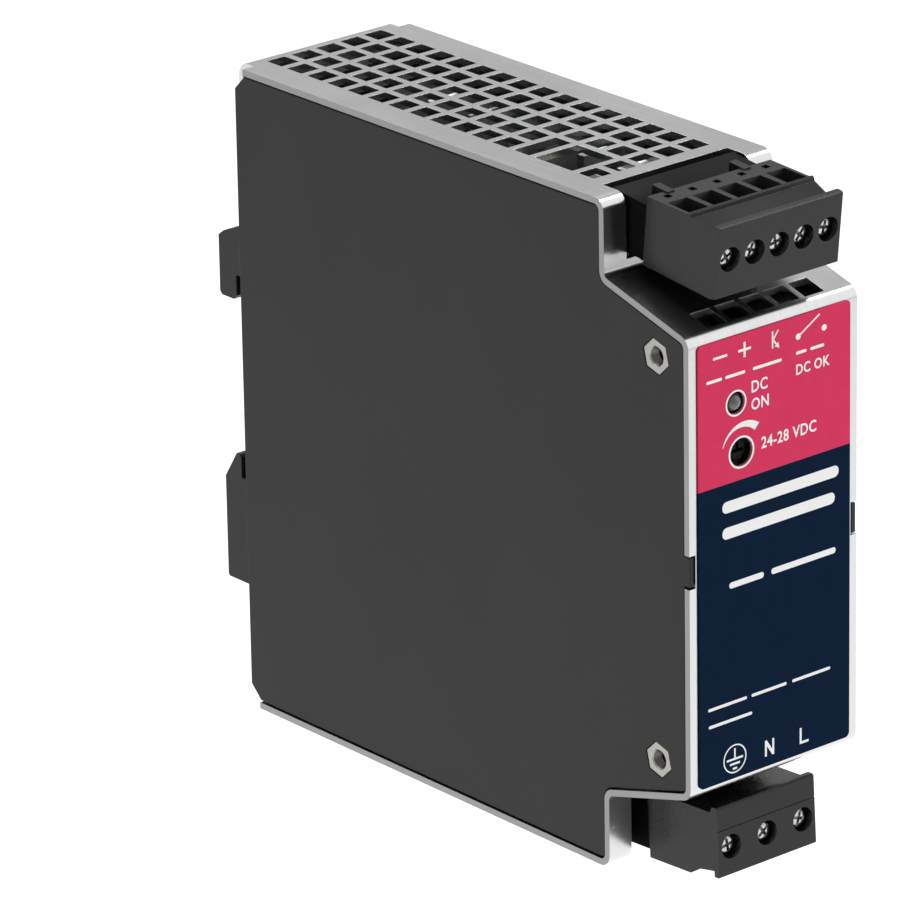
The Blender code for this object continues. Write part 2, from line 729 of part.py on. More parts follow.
def build_plug(plug, mat):
    outline = [(u * MM, v * MM) for u, v in plug.profile]
    body = prism_object("plug_" + plug.name, outline, 0, -plug.half_width, plug.half_width)
    low_v = plug.header_v[0] + 1.3 * MM
    high_v = plug.header_v[1] - 1.3 * MM
    nose_half = plug.half_width - 1.55 * MM
    nose = box_object("nose", (-nose_half, NOSE_LOW_U, low_v), (nose_half, 0.5 * MM, high_v))
    join(body, nose)
    top_v = plug.profile[-1][1] * MM
    for x in plug.lock_x:
        low = (x - 0.75 * MM, -2.9 * MM, plug.header_v[1] + GAP)
        join(body, box_object("lock", low, (x + 0.75 * MM, 0.6 * MM, top_v + 0.25 * MM)))
    centre_v = plug.screw_v
    half_x = CAGE_HALF_X + GAP
    half_v = CAGE_HALF_V + GAP
    poles = plug.pole_x()
    cavities = [
        ((x - half_x, CAVITY_LOW_U, centre_v - half_v), (x + half_x, CAVITY_HIGH_U, centre_v + half_v))
        for x in poles
    ]
    cut(body, boxes_object("cavities", cavities))
    throats = [
        ((x - 1.5 * MM, 5.0 * MM, centre_v + 1.0 * MM), (x + 1.5 * MM, 8.0 * MM, top_v - 1.2 * MM))
        for x in poles
    ]
    cut(body, boxes_object("throats", throats))
    bm = bmesh.new()
    for x in poles:
        add_frustum(
            bm, (x, 6.1 * MM), (1.4 * MM, 1.4 * MM), (2.2 * MM, 2.9 * MM), 2,
            top_v - 2.6 * MM, top_v + 1.2 * MM,
        )
    cut(body, mesh_object("funnels", bm))
    centres = [(x, centre_v) for x in poles]
    stations = [(CAVITY_HIGH_U - 0.5 * MM, SCREW_BORE), (17.0 * MM, SCREW_BORE)]
    cut(body, lathes_object("screw_bores", centres, 1, stations, 20))
    tests = [
        ((x - 0.6 * MM, 0.9 * MM, top_v - 2.0 * MM), (x + 0.6 * MM, 2.1 * MM, top_v + MM))
        for x in poles
    ]
    cut(body, boxes_object("test_holes", tests))
    socket = PIN_HALF + GAP
    sockets = [
        ((x - socket, NOSE_LOW_U - MM, centre_v - 1.5 * MM - socket),
         (x + socket, CAVITY_LOW_U - 0.8 * MM, centre_v - 1.5 * MM + socket))
        for x in poles
    ]
    cut(body, boxes_object("sockets", sockets))
    apply_matrix(body, plug.matrix())
    finish(body, mat, origin=plug.world(0.0, 0.0, 0.0), smooth_degrees=20)


def build_header(plug, mat):
    half = plug.half_width - 0.25 * MM
    low_v, high_v = plug.header_v
    wall = 1.0 * MM
    header = box_object("header_" + plug.name, (-half, -8.6 * MM, low_v), (half, -0.6 * MM, high_v))
    cavity = box_object(
        "cavity", (-half + wall, -7.4 * MM, low_v + wall), (half - wall, MM, high_v - wall)
    )
    cut(header, cavity)
    holes = PIN_HALF + 0.15 * MM
    v = plug.screw_v - 1.5 * MM
    pairs = [
        ((x - holes, -9.5 * MM, v - holes), (x + holes, -6.5 * MM, v + holes))
        for x in plug.pole_x()
    ]
    cut(header, boxes_object("pin_holes", pairs))
    apply_matrix(header, plug.matrix())
    finish(header, mat, smooth_degrees=20)


def build_pins(plug, mat):
    v = plug.screw_v - 1.5 * MM
    for index, x in enumerate(plug.pole_x()):
        bm = bmesh.new()
        half = PIN_HALF
        add_frustum(bm, (x, v), (half, half), (half, half), 1, -11.6 * MM, -1.4 * MM)
        pin = mesh_object("pin_%s_%d" % (plug.name, index + 1), bm)
        apply_matrix(pin, plug.matrix())
        finish(pin, mat, smooth_degrees=20)


def build_clamps(plug, mat_screw, mat_cage):
    """Turning screw and the cage it draws along the plug for each pole."""
    v = plug.screw_v
    for index, x in enumerate(plug.pole_x()):
        number = index + 1
        stations = [
            (CAGE_HIGH_U - 2.6 * MM, 1.15 * MM), (CAGE_HIGH_U + 1.5 * MM, 1.15 * MM),
            (CAGE_HIGH_U + 1.5 * MM, SCREW_RADIUS), (SCREW_FACE_U - 0.25 * MM, SCREW_RADIUS),
            (SCREW_FACE_U, SCREW_RADIUS - 0.3 * MM),
        ]
        screw = lathe_object("clamp_screw_%s_%d" % (plug.name, number), (x, v), 1, stations, 20)
        low = SCREW_FACE_U - 0.9 * MM
        high = SCREW_FACE_U + MM
        arm = 1.2 * MM
        width = 0.28 * MM
        cut(screw, box_object("slot", (x - width, low, v - 2.0 * MM), (x + width, high, v + 2.0 * MM)))
        cut(screw, box_object("slot", (x - arm, low, v - width), (x + arm, high, v + width)))
        apply_matrix(screw, plug.matrix())
        finish(screw, mat_screw, origin=plug.world(x, SCREW_FACE_U, v), smooth_degrees=30)
        low = (x - CAGE_HALF_X, CAGE_LOW_U, v - CAGE_HALF_V)
        high = (x + CAGE_HALF_X, CAGE_HIGH_U, v + CAGE_HALF_V)
        cage = box_object("clamp_cage_%s_%d" % (plug.name, number), low, high)
        wall = 0.55 * MM
        low = (x - CAGE_HALF_X + wall, CAGE_LOW_U + wall, v - 4.0 * MM)
        high = (x + CAGE_HALF_X - wall, CAGE_HIGH_U - 1.2 * MM, v + 4.0 * MM)
        cut(cage, box_object("window", low, high))
        stations = [(CAGE_HIGH_U - 2.0 * MM, 1.4 * MM), (CAGE_HIGH_U + MM, 1.4 * MM)]
        cut(cage, lathe_object("thread", (x, v), 1, stations, 16))
        apply_matrix(cage, plug.matrix())
        finish(cage, mat_cage, origin=plug.world(x, CAGE_LOW_U, v), smooth_degrees=30)


def build_terminal_board(plug, mat):
    low_v = plug.header_v[0] - 2.0 * MM
    high_v = plug.header_v[1] - 1.8 * MM
    left = BOARD_X + BOARD + GAP - plug.centre_x
    right = 12.4 * MM - plug.centre_x
    board = box_object("terminal_board_" + plug.name, (left, -10.4 * MM, low_v), (right, -8.9 * MM, high_v))
    hole = PIN_HALF + 0.15 * MM
    v = plug.screw_v - 1.5 * MM
    pairs = [
        ((x - hole, -11.0 * MM, v - hole), (x + hole, -8.0 * MM, v + hole))
        for x in plug.pole_x()
    ]
    cut(board, boxes_object("pin_holes", pairs))
    apply_matrix(board, plug.matrix())
    finish(board, mat)


# ---------------------------------------------------------------- electronics
def build_main_board(mat):
    corners = [(-109.0, -28.5), (-97.5, -28.5), (-97.5, -38.0), (-84.0, -38.0), (-84.0, -51.5), (-9.0, -51.5)]
    lower = [(y * MM, z * MM) for y, z in corners]
    upper = [(y, -z) for y, z in reversed(lower)]
    board = prism_object("main_board", lower + upper, 0, BOARD_X, BOARD_X + BOARD)
    finish(board, mat)


def build_transformer(mat_core, mat_winding):
    low = (-7.5 * MM, -62.0 * MM, -14.0 * MM)
    high = (9.5 * MM, -30.0 * MM, 14.0 * MM)
    core = box_object("transformer_core", low, high)
    windows = [
        ((-9.0 * MM, -57.5 * MM, -9.5 * MM), (11.0 * MM, -50.5 * MM, 9.5 * MM)),
        ((-9.0 * MM, -41.5 * MM, -9.5 * MM), (11.0 * MM, -34.5 * MM, 9.5 * MM)),
    ]
    cut(core, boxes_object("windows", windows))
    finish(core, mat_core)
    low = (-11.3 * MM, -57.0 * MM, -9.1 * MM)
    high = (13.3 * MM, -35.0 * MM, 9.1 * MM)
    winding = box_object("transformer_winding", low, high)
    hole = box_object("hole", (-7.9 * MM, -50.9 * MM, -12.0 * MM), (9.9 * MM, -41.1 * MM, 12.0 * MM))
    cut(winding, hole)
    add_edge_rounding(winding, 1.6 * MM)
    finish(winding, mat_winding, smooth_degrees=40)


def add_edge_rounding(obj, width):
    """Round the outer vertical corners of a box-like piece."""
    bm = bmesh.new()
    bm.from_mesh(obj.data)
    low_x = min(vert.co.x for vert in bm.verts)
    high_x = max(vert.co.x for vert in bm.verts)
    edges = []
    for edge in bm.edges:
        a, b = edge.verts
        vertical = abs(a.co.x - b.co.x) < 1e-6 and abs(a.co.y - b.co.y) < 1e-6
        outer = min(abs(a.co.x - low_x), abs(a.co.x - high_x)) < 1e-6
        if vertical and outer:
            edges.append(edge)
    bmesh.ops.bevel(bm, geom=edges, offset=width, segments=3, affect="EDGES")
    bm.to_mesh(obj.data)
    bm.free()


def build_components(mats):
    radius = 9.0 * MM
    base = -43.0 * MM
    stations = [
        (base, radius - 0.8 * MM), (base + 0.8 * MM, radius), (base + 3.0 * MM, radius),
        (base + 3.5 * MM, radius - 0.5 * MM), (base + 4.0 * MM, radius), (base + 31.2 * MM, radius),
        (base + 32.0 * MM, radius - 0.8 * MM),
    ]
    bulk = lathe_object("bulk_capacitor", (-2.0 * MM, -74.5 * MM), 2, stations, 28)
    finish(bulk, mats["sleeve"], smooth_degrees=50)
    radius = 5.0 * MM
    base = -11.4 * MM
    stations = [
        (base, radius), (base + 2.0 * MM, radius), (base + 2.4 * MM, radius - 0.4 * MM),
        (base + 2.8 * MM, radius), (base + 14.4 * MM, radius), (base + 15.0 * MM, radius - 0.6 * MM),
    ]
    smoothing = lathe_object("output_capacitor", (-74.0 * MM, 20.0 * MM), 0, stations, 24)
    finish(smoothing, mats["sleeve_dark"], smooth_degrees=50)
    build_choke(mats["copper"])
    low = (-11.4 * MM, -36.0 * MM, -49.0 * MM)
    high = (4.0 * MM, -18.0 * MM, -36.0 * MM)
    film = box_object("suppression_capacitor", low, high)
    finish(film, mats["film"])
    sink = box_object("heatsink", (11.0 * MM, -84.0 * MM, 20.0 * MM), (13.0 * MM, -16.0 * MM, 51.0 * MM))
    for index in range(8):
        y = (-82.5 + index * 9.2) * MM
        join(sink, box_object("fin", (4.5 * MM, y, 20.6 * MM), (11.5 * MM, y + 1.4 * MM, 50.4 * MM)))
    finish(sink, mats["aluminium"])
    low = (-8.6 * MM, -80.6 * MM, 44.0 * MM)
    high = (-3.2 * MM, -74.4 * MM, 52.6 * MM)
    option = box_object("option_connector", low, high)
    inner_low = (low[0] + MM, low[1] + MM, low[2] + 3.0 * MM)
    inner_high = (high[0] - MM, high[1] - MM, high[2] + MM)
    cut(option, box_object("inside", inner_low, inner_high))
    finish(option, mats["ivory"])


def build_choke(mat):
    """Common-mode choke drawn as one wound ring lying against the board."""
    major = 7.2 * MM
    minor_x = 4.6 * MM
    minor_r = 3.2 * MM
    around = 32
    sides = 10
    centre = Vector((-6.5 * MM, -49.5 * MM, -35.0 * MM))
    bm = bmesh.new()
    rings = []
    for step in range(around):
        angle = 2.0 * math.pi * step / around
        outward = Vector((0.0, math.cos(angle), math.sin(angle)))
        swell = 1.0 if step % 2 == 0 else 0.9
        ring = []
        for side in range(sides):
            swing = 2.0 * math.pi * side / sides
            point = centre + outward * (major + swell * minor_r * math.cos(swing))
            point.x += swell * minor_x * math.sin(swing)
            ring.append(bm.verts.new(point))
        rings.append(ring)
    for step in range(around):
        first = rings[step]
        second = rings[(step + 1) % around]
        for side in range(sides):
            after = (side + 1) % sides
            bm.faces.new((first[side], first[after], second[after], second[side]))
    finish(mesh_object("mains_choke", bm), mat, smooth_degrees=50)


# ---------------------------------------------------------------- assembly
def main():
    clear_scene()
    sheet = material("plated_sheet", (0.62, 0.62, 0.62), 1.0, 0.28)
    panel = material("panel_plastic", (0.052, 0.050, 0.052), 0.0, 0.55)
    clip = material("clip_plastic", (0.045, 0.045, 0.048), 0.0, 0.5)
    rear = material("rear_plastic", (0.05, 0.05, 0.052), 0.0, 0.55)
    plug_plastic = material("plug_plastic", (0.04, 0.04, 0.043), 0.0, 0.42)
    header_plastic = material("header_plastic", (0.02, 0.02, 0.022), 0.0, 0.45)
    steel = material("zinc_steel", (0.6, 0.6, 0.6), 1.0, 0.3)
    spring = material("spring_steel", (0.5, 0.5, 0.52), 1.0, 0.3)
    tin = material("tinned_brass", (0.7, 0.68, 0.62), 1.0, 0.3)
    label = material("label_film", (0.3, 0.03, 0.06), 0.0, 0.4)
    lamp = material("lamp_lens", (0.35, 0.37, 0.36), 0.0, 0.3)
    trimmer = material("trimmer_case", (0.03, 0.05, 0.12), 0.0, 0.4)
    rotor = material("trimmer_rotor", (0.05, 0.05, 0.05), 0.0, 0.4)
    laminate = material("board_laminate", (0.02, 0.12, 0.05), 0.0, 0.4)
    ferrite = material("ferrite", (0.03, 0.03, 0.032), 0.0, 0.6)
    tape = material("winding_tape", (0.6, 0.42, 0.06), 0.0, 0.5)
    parts = {
        "sleeve": material("capacitor_sleeve", (0.02, 0.03, 0.1), 0.0, 0.35),
        "sleeve_dark": material("small_capacitor_sleeve", (0.02, 0.02, 0.02), 0.0, 0.35),
        "copper": material("enamelled_copper", (0.45, 0.16, 0.06), 0.6, 0.35),
        "film": material("film_capacitor_case", (0.5, 0.36, 0.05), 0.0, 0.4),
        "aluminium": material("heatsink_aluminium", (0.7, 0.7, 0.7), 1.0, 0.35),
        "ivory": material("ivory_plastic", (0.75, 0.73, 0.65), 0.0, 0.45),
    }
    build_chassis(sheet)
    build_side_panel("side_panel_left", -1, panel)
    build_side_panel("side_panel_right", 1, panel)
    build_rear_plate(rear)
    build_adapter(clip)
    build_latch(clip)
    build_spring(spring)
    build_pan_screw("flange_screw_top", 0.0, FLANGE_SCREW_Z, REAR_Y + 1.5 * MM, 5.0 * MM, steel)
    build_pan_screw("flange_screw_bottom", 0.0, -FLANGE_SCREW_Z, REAR_Y + 1.5 * MM, 5.0 * MM, steel)
    build_pan_screw("adapter_screw_left", -9.0 * MM, 0.0, -0.6 * MM, 6.2 * MM, steel)
    build_pan_screw("adapter_screw_right", 9.0 * MM, 0.0, -0.6 * MM, 6.2 * MM, steel)
    build_label(label)
    build_led(lamp)
    build_trimmer(trimmer, rotor)
    for word, z in (("upper", BOLT_Z), ("lower", -BOLT_Z)):
        build_nut("press_nut_" + word, z, steel)
        build_cover_screw("cover_screw_" + word, z, steel)
    for plug in PLUGS:
        build_plug(plug, plug_plastic)
        build_header(plug, header_plastic)
        build_pins(plug, tin)
        build_clamps(plug, steel, tin)
        build_terminal_board(plug, laminate)
    build_main_board(laminate)
    build_transformer(ferrite, tape)
    build_components(parts)


main()
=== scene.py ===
"""Looks for the DIN rail power supply: detailed pieces and procedural materials.

Lengths are metres in the frame's axes: X across the width, -Y the front, +Z up.
"""
import math

import bmesh
import bpy
from mathutils import Matrix, Vector


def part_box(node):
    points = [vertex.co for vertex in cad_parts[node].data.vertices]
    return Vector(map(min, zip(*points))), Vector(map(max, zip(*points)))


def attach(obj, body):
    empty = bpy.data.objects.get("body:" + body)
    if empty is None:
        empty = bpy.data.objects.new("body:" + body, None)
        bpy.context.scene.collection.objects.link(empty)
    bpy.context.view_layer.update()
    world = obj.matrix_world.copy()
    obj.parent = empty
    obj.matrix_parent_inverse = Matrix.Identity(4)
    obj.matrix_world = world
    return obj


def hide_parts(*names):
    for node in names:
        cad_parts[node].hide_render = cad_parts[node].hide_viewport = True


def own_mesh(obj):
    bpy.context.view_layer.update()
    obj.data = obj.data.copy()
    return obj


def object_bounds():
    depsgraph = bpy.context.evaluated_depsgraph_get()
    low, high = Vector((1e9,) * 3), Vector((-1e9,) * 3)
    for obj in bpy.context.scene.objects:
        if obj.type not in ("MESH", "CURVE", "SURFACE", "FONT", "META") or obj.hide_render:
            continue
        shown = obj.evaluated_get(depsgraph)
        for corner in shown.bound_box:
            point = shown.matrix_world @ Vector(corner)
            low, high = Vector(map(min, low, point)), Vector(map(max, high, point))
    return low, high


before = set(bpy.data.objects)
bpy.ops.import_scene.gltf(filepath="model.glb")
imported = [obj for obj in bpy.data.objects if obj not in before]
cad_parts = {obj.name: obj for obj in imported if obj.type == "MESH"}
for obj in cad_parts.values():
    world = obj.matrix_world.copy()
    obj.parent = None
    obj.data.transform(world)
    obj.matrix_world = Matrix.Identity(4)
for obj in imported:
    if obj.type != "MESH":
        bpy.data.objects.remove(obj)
CAD_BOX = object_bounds()

MM = 0.001
GAP = 0.3 * MM


def mm(*values):
    return tuple(value * MM for value in values)


def middle(node):
    low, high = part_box(node)
    return 0.5 * (low + high)


# Folded sheet.
SHEET = 1.1 * MM
BEND_RADIUS = 1.65 * MM
BAND_LOW, BAND_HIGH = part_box("chassis_band")
HALF_WIDTH = BAND_HIGH.x
HALF_HEIGHT = BAND_HIGH.z
FRONT_Y = BAND_LOW.y
REAR_Y = BAND_HIGH.y
STEP_Y = FRONT_Y + 19.2 * MM
STEP_Z = 43.4 * MM
NOSE_Z = 38.0 * MM
FLANGE_LENGTH = 9.0 * MM
FLANGE_HALF = 15.3 * MM
FLANGE_SCREW_Z = middle("flange_screw_top").z
REBATE_Y = -6.0 * MM

# Ventilation grid.
HOLE = 3.75 * MM
HOLE_PITCH = 5.08 * MM
HOLE_ROWS = 16
HOLE_COLUMNS = 5
FIRST_ROW_Y = -83.5 * MM
VENT_Y = -109.3 * MM
VENT = 4.0 * MM

# Openings for the terminal plugs.
NOTCH_HALF = 12.9 * MM
NOTCH_REAR_Y = -88.4 * MM
NOTCH_Z = 45.2 * MM
SLIT_HALF = 10.0 * MM
SLIT_Z = 44.2 * MM

# Side panels and their fixings.
PANEL_FACE_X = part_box("side_panel_right")[1].x
PANEL = 1.8 * MM
PANEL_REAR_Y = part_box("side_panel_right")[1].y
RIM_DEPTH = 3.0 * MM
RIM = 1.2 * MM
TAB_HALF_Z = 2.75 * MM
TAB_X = 16.3 * MM
BOLT_Y = middle("press_nut_upper").y
BOLT_Z = middle("press_nut_upper").z
BOSS_RADIUS = 3.6 * MM
BOLT_RADIUS = 1.05 * MM
NUT_FLATS = 5.0 * MM
NUT_TURN = math.radians(16.0)

# Front.
LABEL_LOW, LABEL_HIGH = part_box("front_label")
LABEL_CORNER = 0.9 * MM
COLOUR_SPLIT_Z = 12.9 * MM
INK_Y = LABEL_LOW.y
INK = 0.035 * MM
LED_X = middle("status_lamp").x
LED_Z = middle("status_lamp").z
LED_RADIUS = 1.5 * MM
TRIM_X = middle("trimmer_body").x
TRIM_Z = middle("trimmer_body").z
TRIM_HOLE_RADIUS = 2.3 * MM
TRIM_ROTOR_RADIUS = 1.7 * MM
FRONT_HOLES = ((LED_X, LED_Z, LED_RADIUS + GAP), (TRIM_X, TRIM_Z, TRIM_HOLE_RADIUS))

# Fixings.
BOLT_THREAD = 6.0 * MM
BOLT_SHORT = 2.0 * MM
THREAD_PITCH = 0.4 * MM
PAN_SHANK = 1.0 * MM
PAN_HEAD = 2.4 * MM
PAN_HEIGHT = 0.75 * MM

# Rail clip.
CLIP_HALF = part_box("rail_adapter")[1].x
SCREW_X = 9.0 * MM
SPRING_WIRE = 0.25 * MM
SPRING_RADIUS = 0.95 * MM
SPRING_TURNS = 7.0

# Studio; places are metres, light sizes metres, powers watts.
FLOOR_Z = -0.25
FLOOR_HALF = 6.0
SKY_STRENGTH = 0.53
LIGHTS = (
    ("overhead_panel", (0.15, 0.55, 1.5), 1.4, 32.0),
    ("front_softbox", (0.85, -0.80, 0.50), 1.3, 3.6),
    ("kicker", (0.785, -0.19, 0.95), 0.16, 1.6),
)
CAMERA_PLACE = (-0.72112, -0.89540, 0.42576)
CAMERA_AZIMUTH = math.radians(-39.98)
CAMERA_ELEVATION = math.radians(21.047)
CAMERA_ROLL = math.radians(-1.02)
CAMERA_LENS = 295.71


class Plug:
    """Layout of one pull-off terminal block, tilted about X: x across, u forwards, v outwards."""

    def __init__(self, name, centre_x, origin, tilt, side, poles, pitch, half_width):
        self.name = name
        self.half_width = half_width
        first = -0.5 * (poles - 1) * pitch
        self.poles = [first + index * pitch for index in range(poles)]
        c = math.cos(math.radians(tilt))
        s = math.sin(math.radians(tilt))
        columns = ((1.0, 0.0, 0.0), (0.0, -c, -s * side), (0.0, -s, c * side))
        turn = Matrix(columns).transposed().to_4x4()
        self.matrix = Matrix.Translation((centre_x, origin[0], origin[1])) @ turn
        self.profile = []
        self.header_v = (0.0, 0.0)
        self.screw_v = 0.0
        self.locks = ()
        self.slot_turns = ()


OUTPUT = Plug("output", 0.0, mm(-98.1, 50.0), 6.0, 1, 5, 5.08 * MM, 12.75 * MM)
OUTPUT.profile = [
    (-0.3, -4.9), (14.9, -4.9), (16.2, -4.6), (16.2, 7.0), (15.9, 7.2), (14.9, 7.2), (14.9, 5.6),
    (13.2, 5.4), (9.8, 6.6), (9.6, 7.2), (9.1, 7.3), (8.9, 7.0), (-0.3, 6.5),
]
OUTPUT.header_v = mm(-4.4, 4.9)
OUTPUT.screw_v = 1.5 * MM
OUTPUT.locks = mm(-8.7, 7.2)
OUTPUT.slot_turns = (62.0, 20.0, 78.0, 38.0, 12.0)

INPUT = Plug("input", -0.7 * MM, mm(-96.0, -49.0), 3.1, -1, 3, 7.62 * MM, 10.3 * MM)
INPUT.profile = [
    (-0.3, -5.4), (14.4, -5.4), (14.9, -6.4), (15.9, -6.4), (16.2, -6.1), (16.2, -2.6),
    (16.05, -2.5), (16.2, -2.4), (16.2, 5.2), (15.9, 5.4), (14.9, 5.4), (14.9, 4.4), (11.5, 4.9),
    (9.3, 6.2), (-0.3, 6.2),
]
INPUT.header_v = mm(-3.2, 4.9)
INPUT.screw_v = 0.6 * MM
INPUT.slot_turns = (8.0, 35.0, 70.0)

SCREW_RADIUS = 1.65 * MM
SCREW_BORE = 2.0 * MM
SCREW_FACE_U = 15.2 * MM
NOSE_LOW_U = -6.8 * MM
PIN_HALF = 0.5 * MM
CAGE_HIGH_U = 11.2 * MM


# -------- mesh helpers
def mesh_object(name, bm):
    bmesh.ops.recalc_face_normals(bm, faces=bm.faces)
    mesh = bpy.data.meshes.new(name)
    bm.to_mesh(mesh)
    bm.free()
    obj = bpy.data.objects.new(name, mesh)
    bpy.context.scene.collection.objects.link(obj)
    return obj


def add_rings(bm, rings, closed=False):
    """Skin a list of point rings; a ring of one point is a tip."""
    made = [[bm.verts.new(point) for point in ring] for ring in rings]
    pairs = list(zip(made, made[1:]))
    if closed:
        pairs.append((made[-1], made[0]))
    sides = max(len(ring) for ring in made)
    for first, second in pairs:
        for index in range(sides):
            after = (index + 1) % sides
            corners = [
                first[index % len(first)], first[after % len(first)],
                second[after % len(second)], second[index % len(second)],
            ]
            bm.faces.new(list(dict.fromkeys(corners)))
    if not closed:
        for ring in (made[0], made[-1]):
            if len(ring) > 2:
                bm.faces.new(ring)


def circle(centre, radius, steps, turn=0.0):
    angles = [turn + 2.0 * math.pi * k / steps for k in range(steps)]
    return [(centre[0] + radius * math.cos(a), centre[1] + radius * math.sin(a)) for a in angles]


def on_axis(axis, level, first, second):
    point = [first, second]
    point.insert(axis, level)
    return point


def add_prism(bm, outline, axis, start, end):
    add_rings(bm, [[on_axis(axis, level, a, b) for a, b in outline] for level in (start, end)])


def add_box(bm, low, high):
    outline = [(low[0], low[1]), (high[0], low[1]), (high[0], high[1]), (low[0], high[1])]
    add_prism(bm, outline, 2, low[2], high[2])


def add_tapered(bm, axis, centre, levels):
    """Tapered box along an axis; levels are (position, half size, half size)."""
    corners = ((-1, -1), (1, -1), (1, 1), (-1, 1))
    add_rings(bm, [
        [on_axis(axis, level, centre[0] + a * x, centre[1] + b * y) for a, b in corners]
        for level, x, y in levels
    ])


def add_lathe(bm, centre, axis, stations, segments=40):
    """Solid of revolution; stations are (position, radius), radius 0 closes to a point."""
    rings = []
    for level, radius in stations:
        points = circle(centre, radius, segments if radius > 0.0 else 1)
        rings.append([on_axis(axis, level, a, b) for a, b in points])
    add_rings(bm, rings)


def prism(name, outline, axis, start, end):
    bm = bmesh.new()
    add_prism(bm, outline, axis, start, end)
    return mesh_object(name, bm)


def boxes(pairs):
    """Tool for a cut or a join."""
    bm = bmesh.new()
    for low, high in pairs:
        add_box(bm, low, high)
    return mesh_object("tool", bm)


def row_boxes(places, half, near, far):
    """Tool of equal boxes in a row along X; near and far are their Y and Z corners."""
    return boxes([((x - half, *near), (x + half, *far)) for x in places])


def lathes(name, centres, axis, stations, segments=40):
    bm = bmesh.new()
    for centre in centres:
        add_lathe(bm, centre, axis, stations, segments)
    return mesh_object(name, bm)


def combine(target, tool, operation):
    """Apply an exact boolean and remove the tool."""
    modifier = target.modifiers.new(operation.lower(), "BOOLEAN")
    modifier.object = tool
    modifier.operation = operation
    modifier.solver = "EXACT"
    bpy.context.view_layer.update()
    graph = bpy.context.evaluated_depsgraph_get()
    mesh = bpy.data.meshes.new_from_object(target.evaluated_get(graph))
    target.modifiers.clear()
    previous = target.data
    target.data = mesh
    bpy.data.meshes.remove(previous)
    bpy.data.objects.remove(tool, do_unlink=True)


def cut(target, tool):
    combine(target, tool, "DIFFERENCE")


def join(target, tool):
    combine(target, tool, "UNION")


def apply_matrix(obj, matrix):
    obj.data.transform(matrix)
    bm = bmesh.new()
    bm.from_mesh(obj.data)
    bmesh.ops.recalc_face_normals(bm, faces=bm.faces)
    bm.to_mesh(obj.data)
    bm.free()


def dress(obj, mat, nodes=(), edge=0.0, segments=2, sharp=30.0, body="housing", slot=""):
    """Material, worn edges (in millimetres), shading, and its place on the frame.

    The slot argument is not used.
    """
    bm = bmesh.new()
    bm.from_mesh(obj.data)
    bmesh.ops.remove_doubles(bm, verts=bm.verts, dist=0.002 * MM)
    bmesh.ops.dissolve_degenerate(bm, edges=bm.edges, dist=0.002 * MM)
    limit = math.radians(sharp)
    for face in bm.faces:
        face.smooth = True
        face.material_index = 0
    for side in bm.edges:
        flat = len(side.link_faces) == 2 and side.calc_face_angle(0.0) < limit
        side.smooth = edge > 0.0 or flat
    bm.to_mesh(obj.data)
    bm.free()
    obj.data.materials.clear()
    obj.data.materials.append(mat)
    if edge > 0.0:
        bevel = obj.modifiers.new("edges", "BEVEL")
        bevel.width = edge * MM
        bevel.segments = segments
        bevel.limit_method = "ANGLE"
        bevel.angle_limit = limit
        bevel.harden_normals = True
    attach(obj, body)
    slot = slot or mat.name.split(".")[0]
    if nodes:
        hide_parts(*nodes)


def refine(node, mat, edge, segments=2, sharp=30.0, body="housing"):
    """A copy of a CAD node with its triangles merged into flat faces and its edges rounded."""
    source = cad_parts[node]
    bm = bmesh.new()
    bm.from_mesh(source.data)
    bmesh.ops.remove_doubles(bm, verts=bm.verts, dist=0.001 * MM)
    bmesh.ops.dissolve_limit(
        bm, angle_limit=math.radians(0.5), use_dissolve_boundaries=False,
        verts=bm.verts, edges=bm.edges, delimit={"NORMAL"},
    )
    obj = mesh_object(node + "_detail", bm)
    dress(obj, mat, (node,), edge, segments, sharp, body)


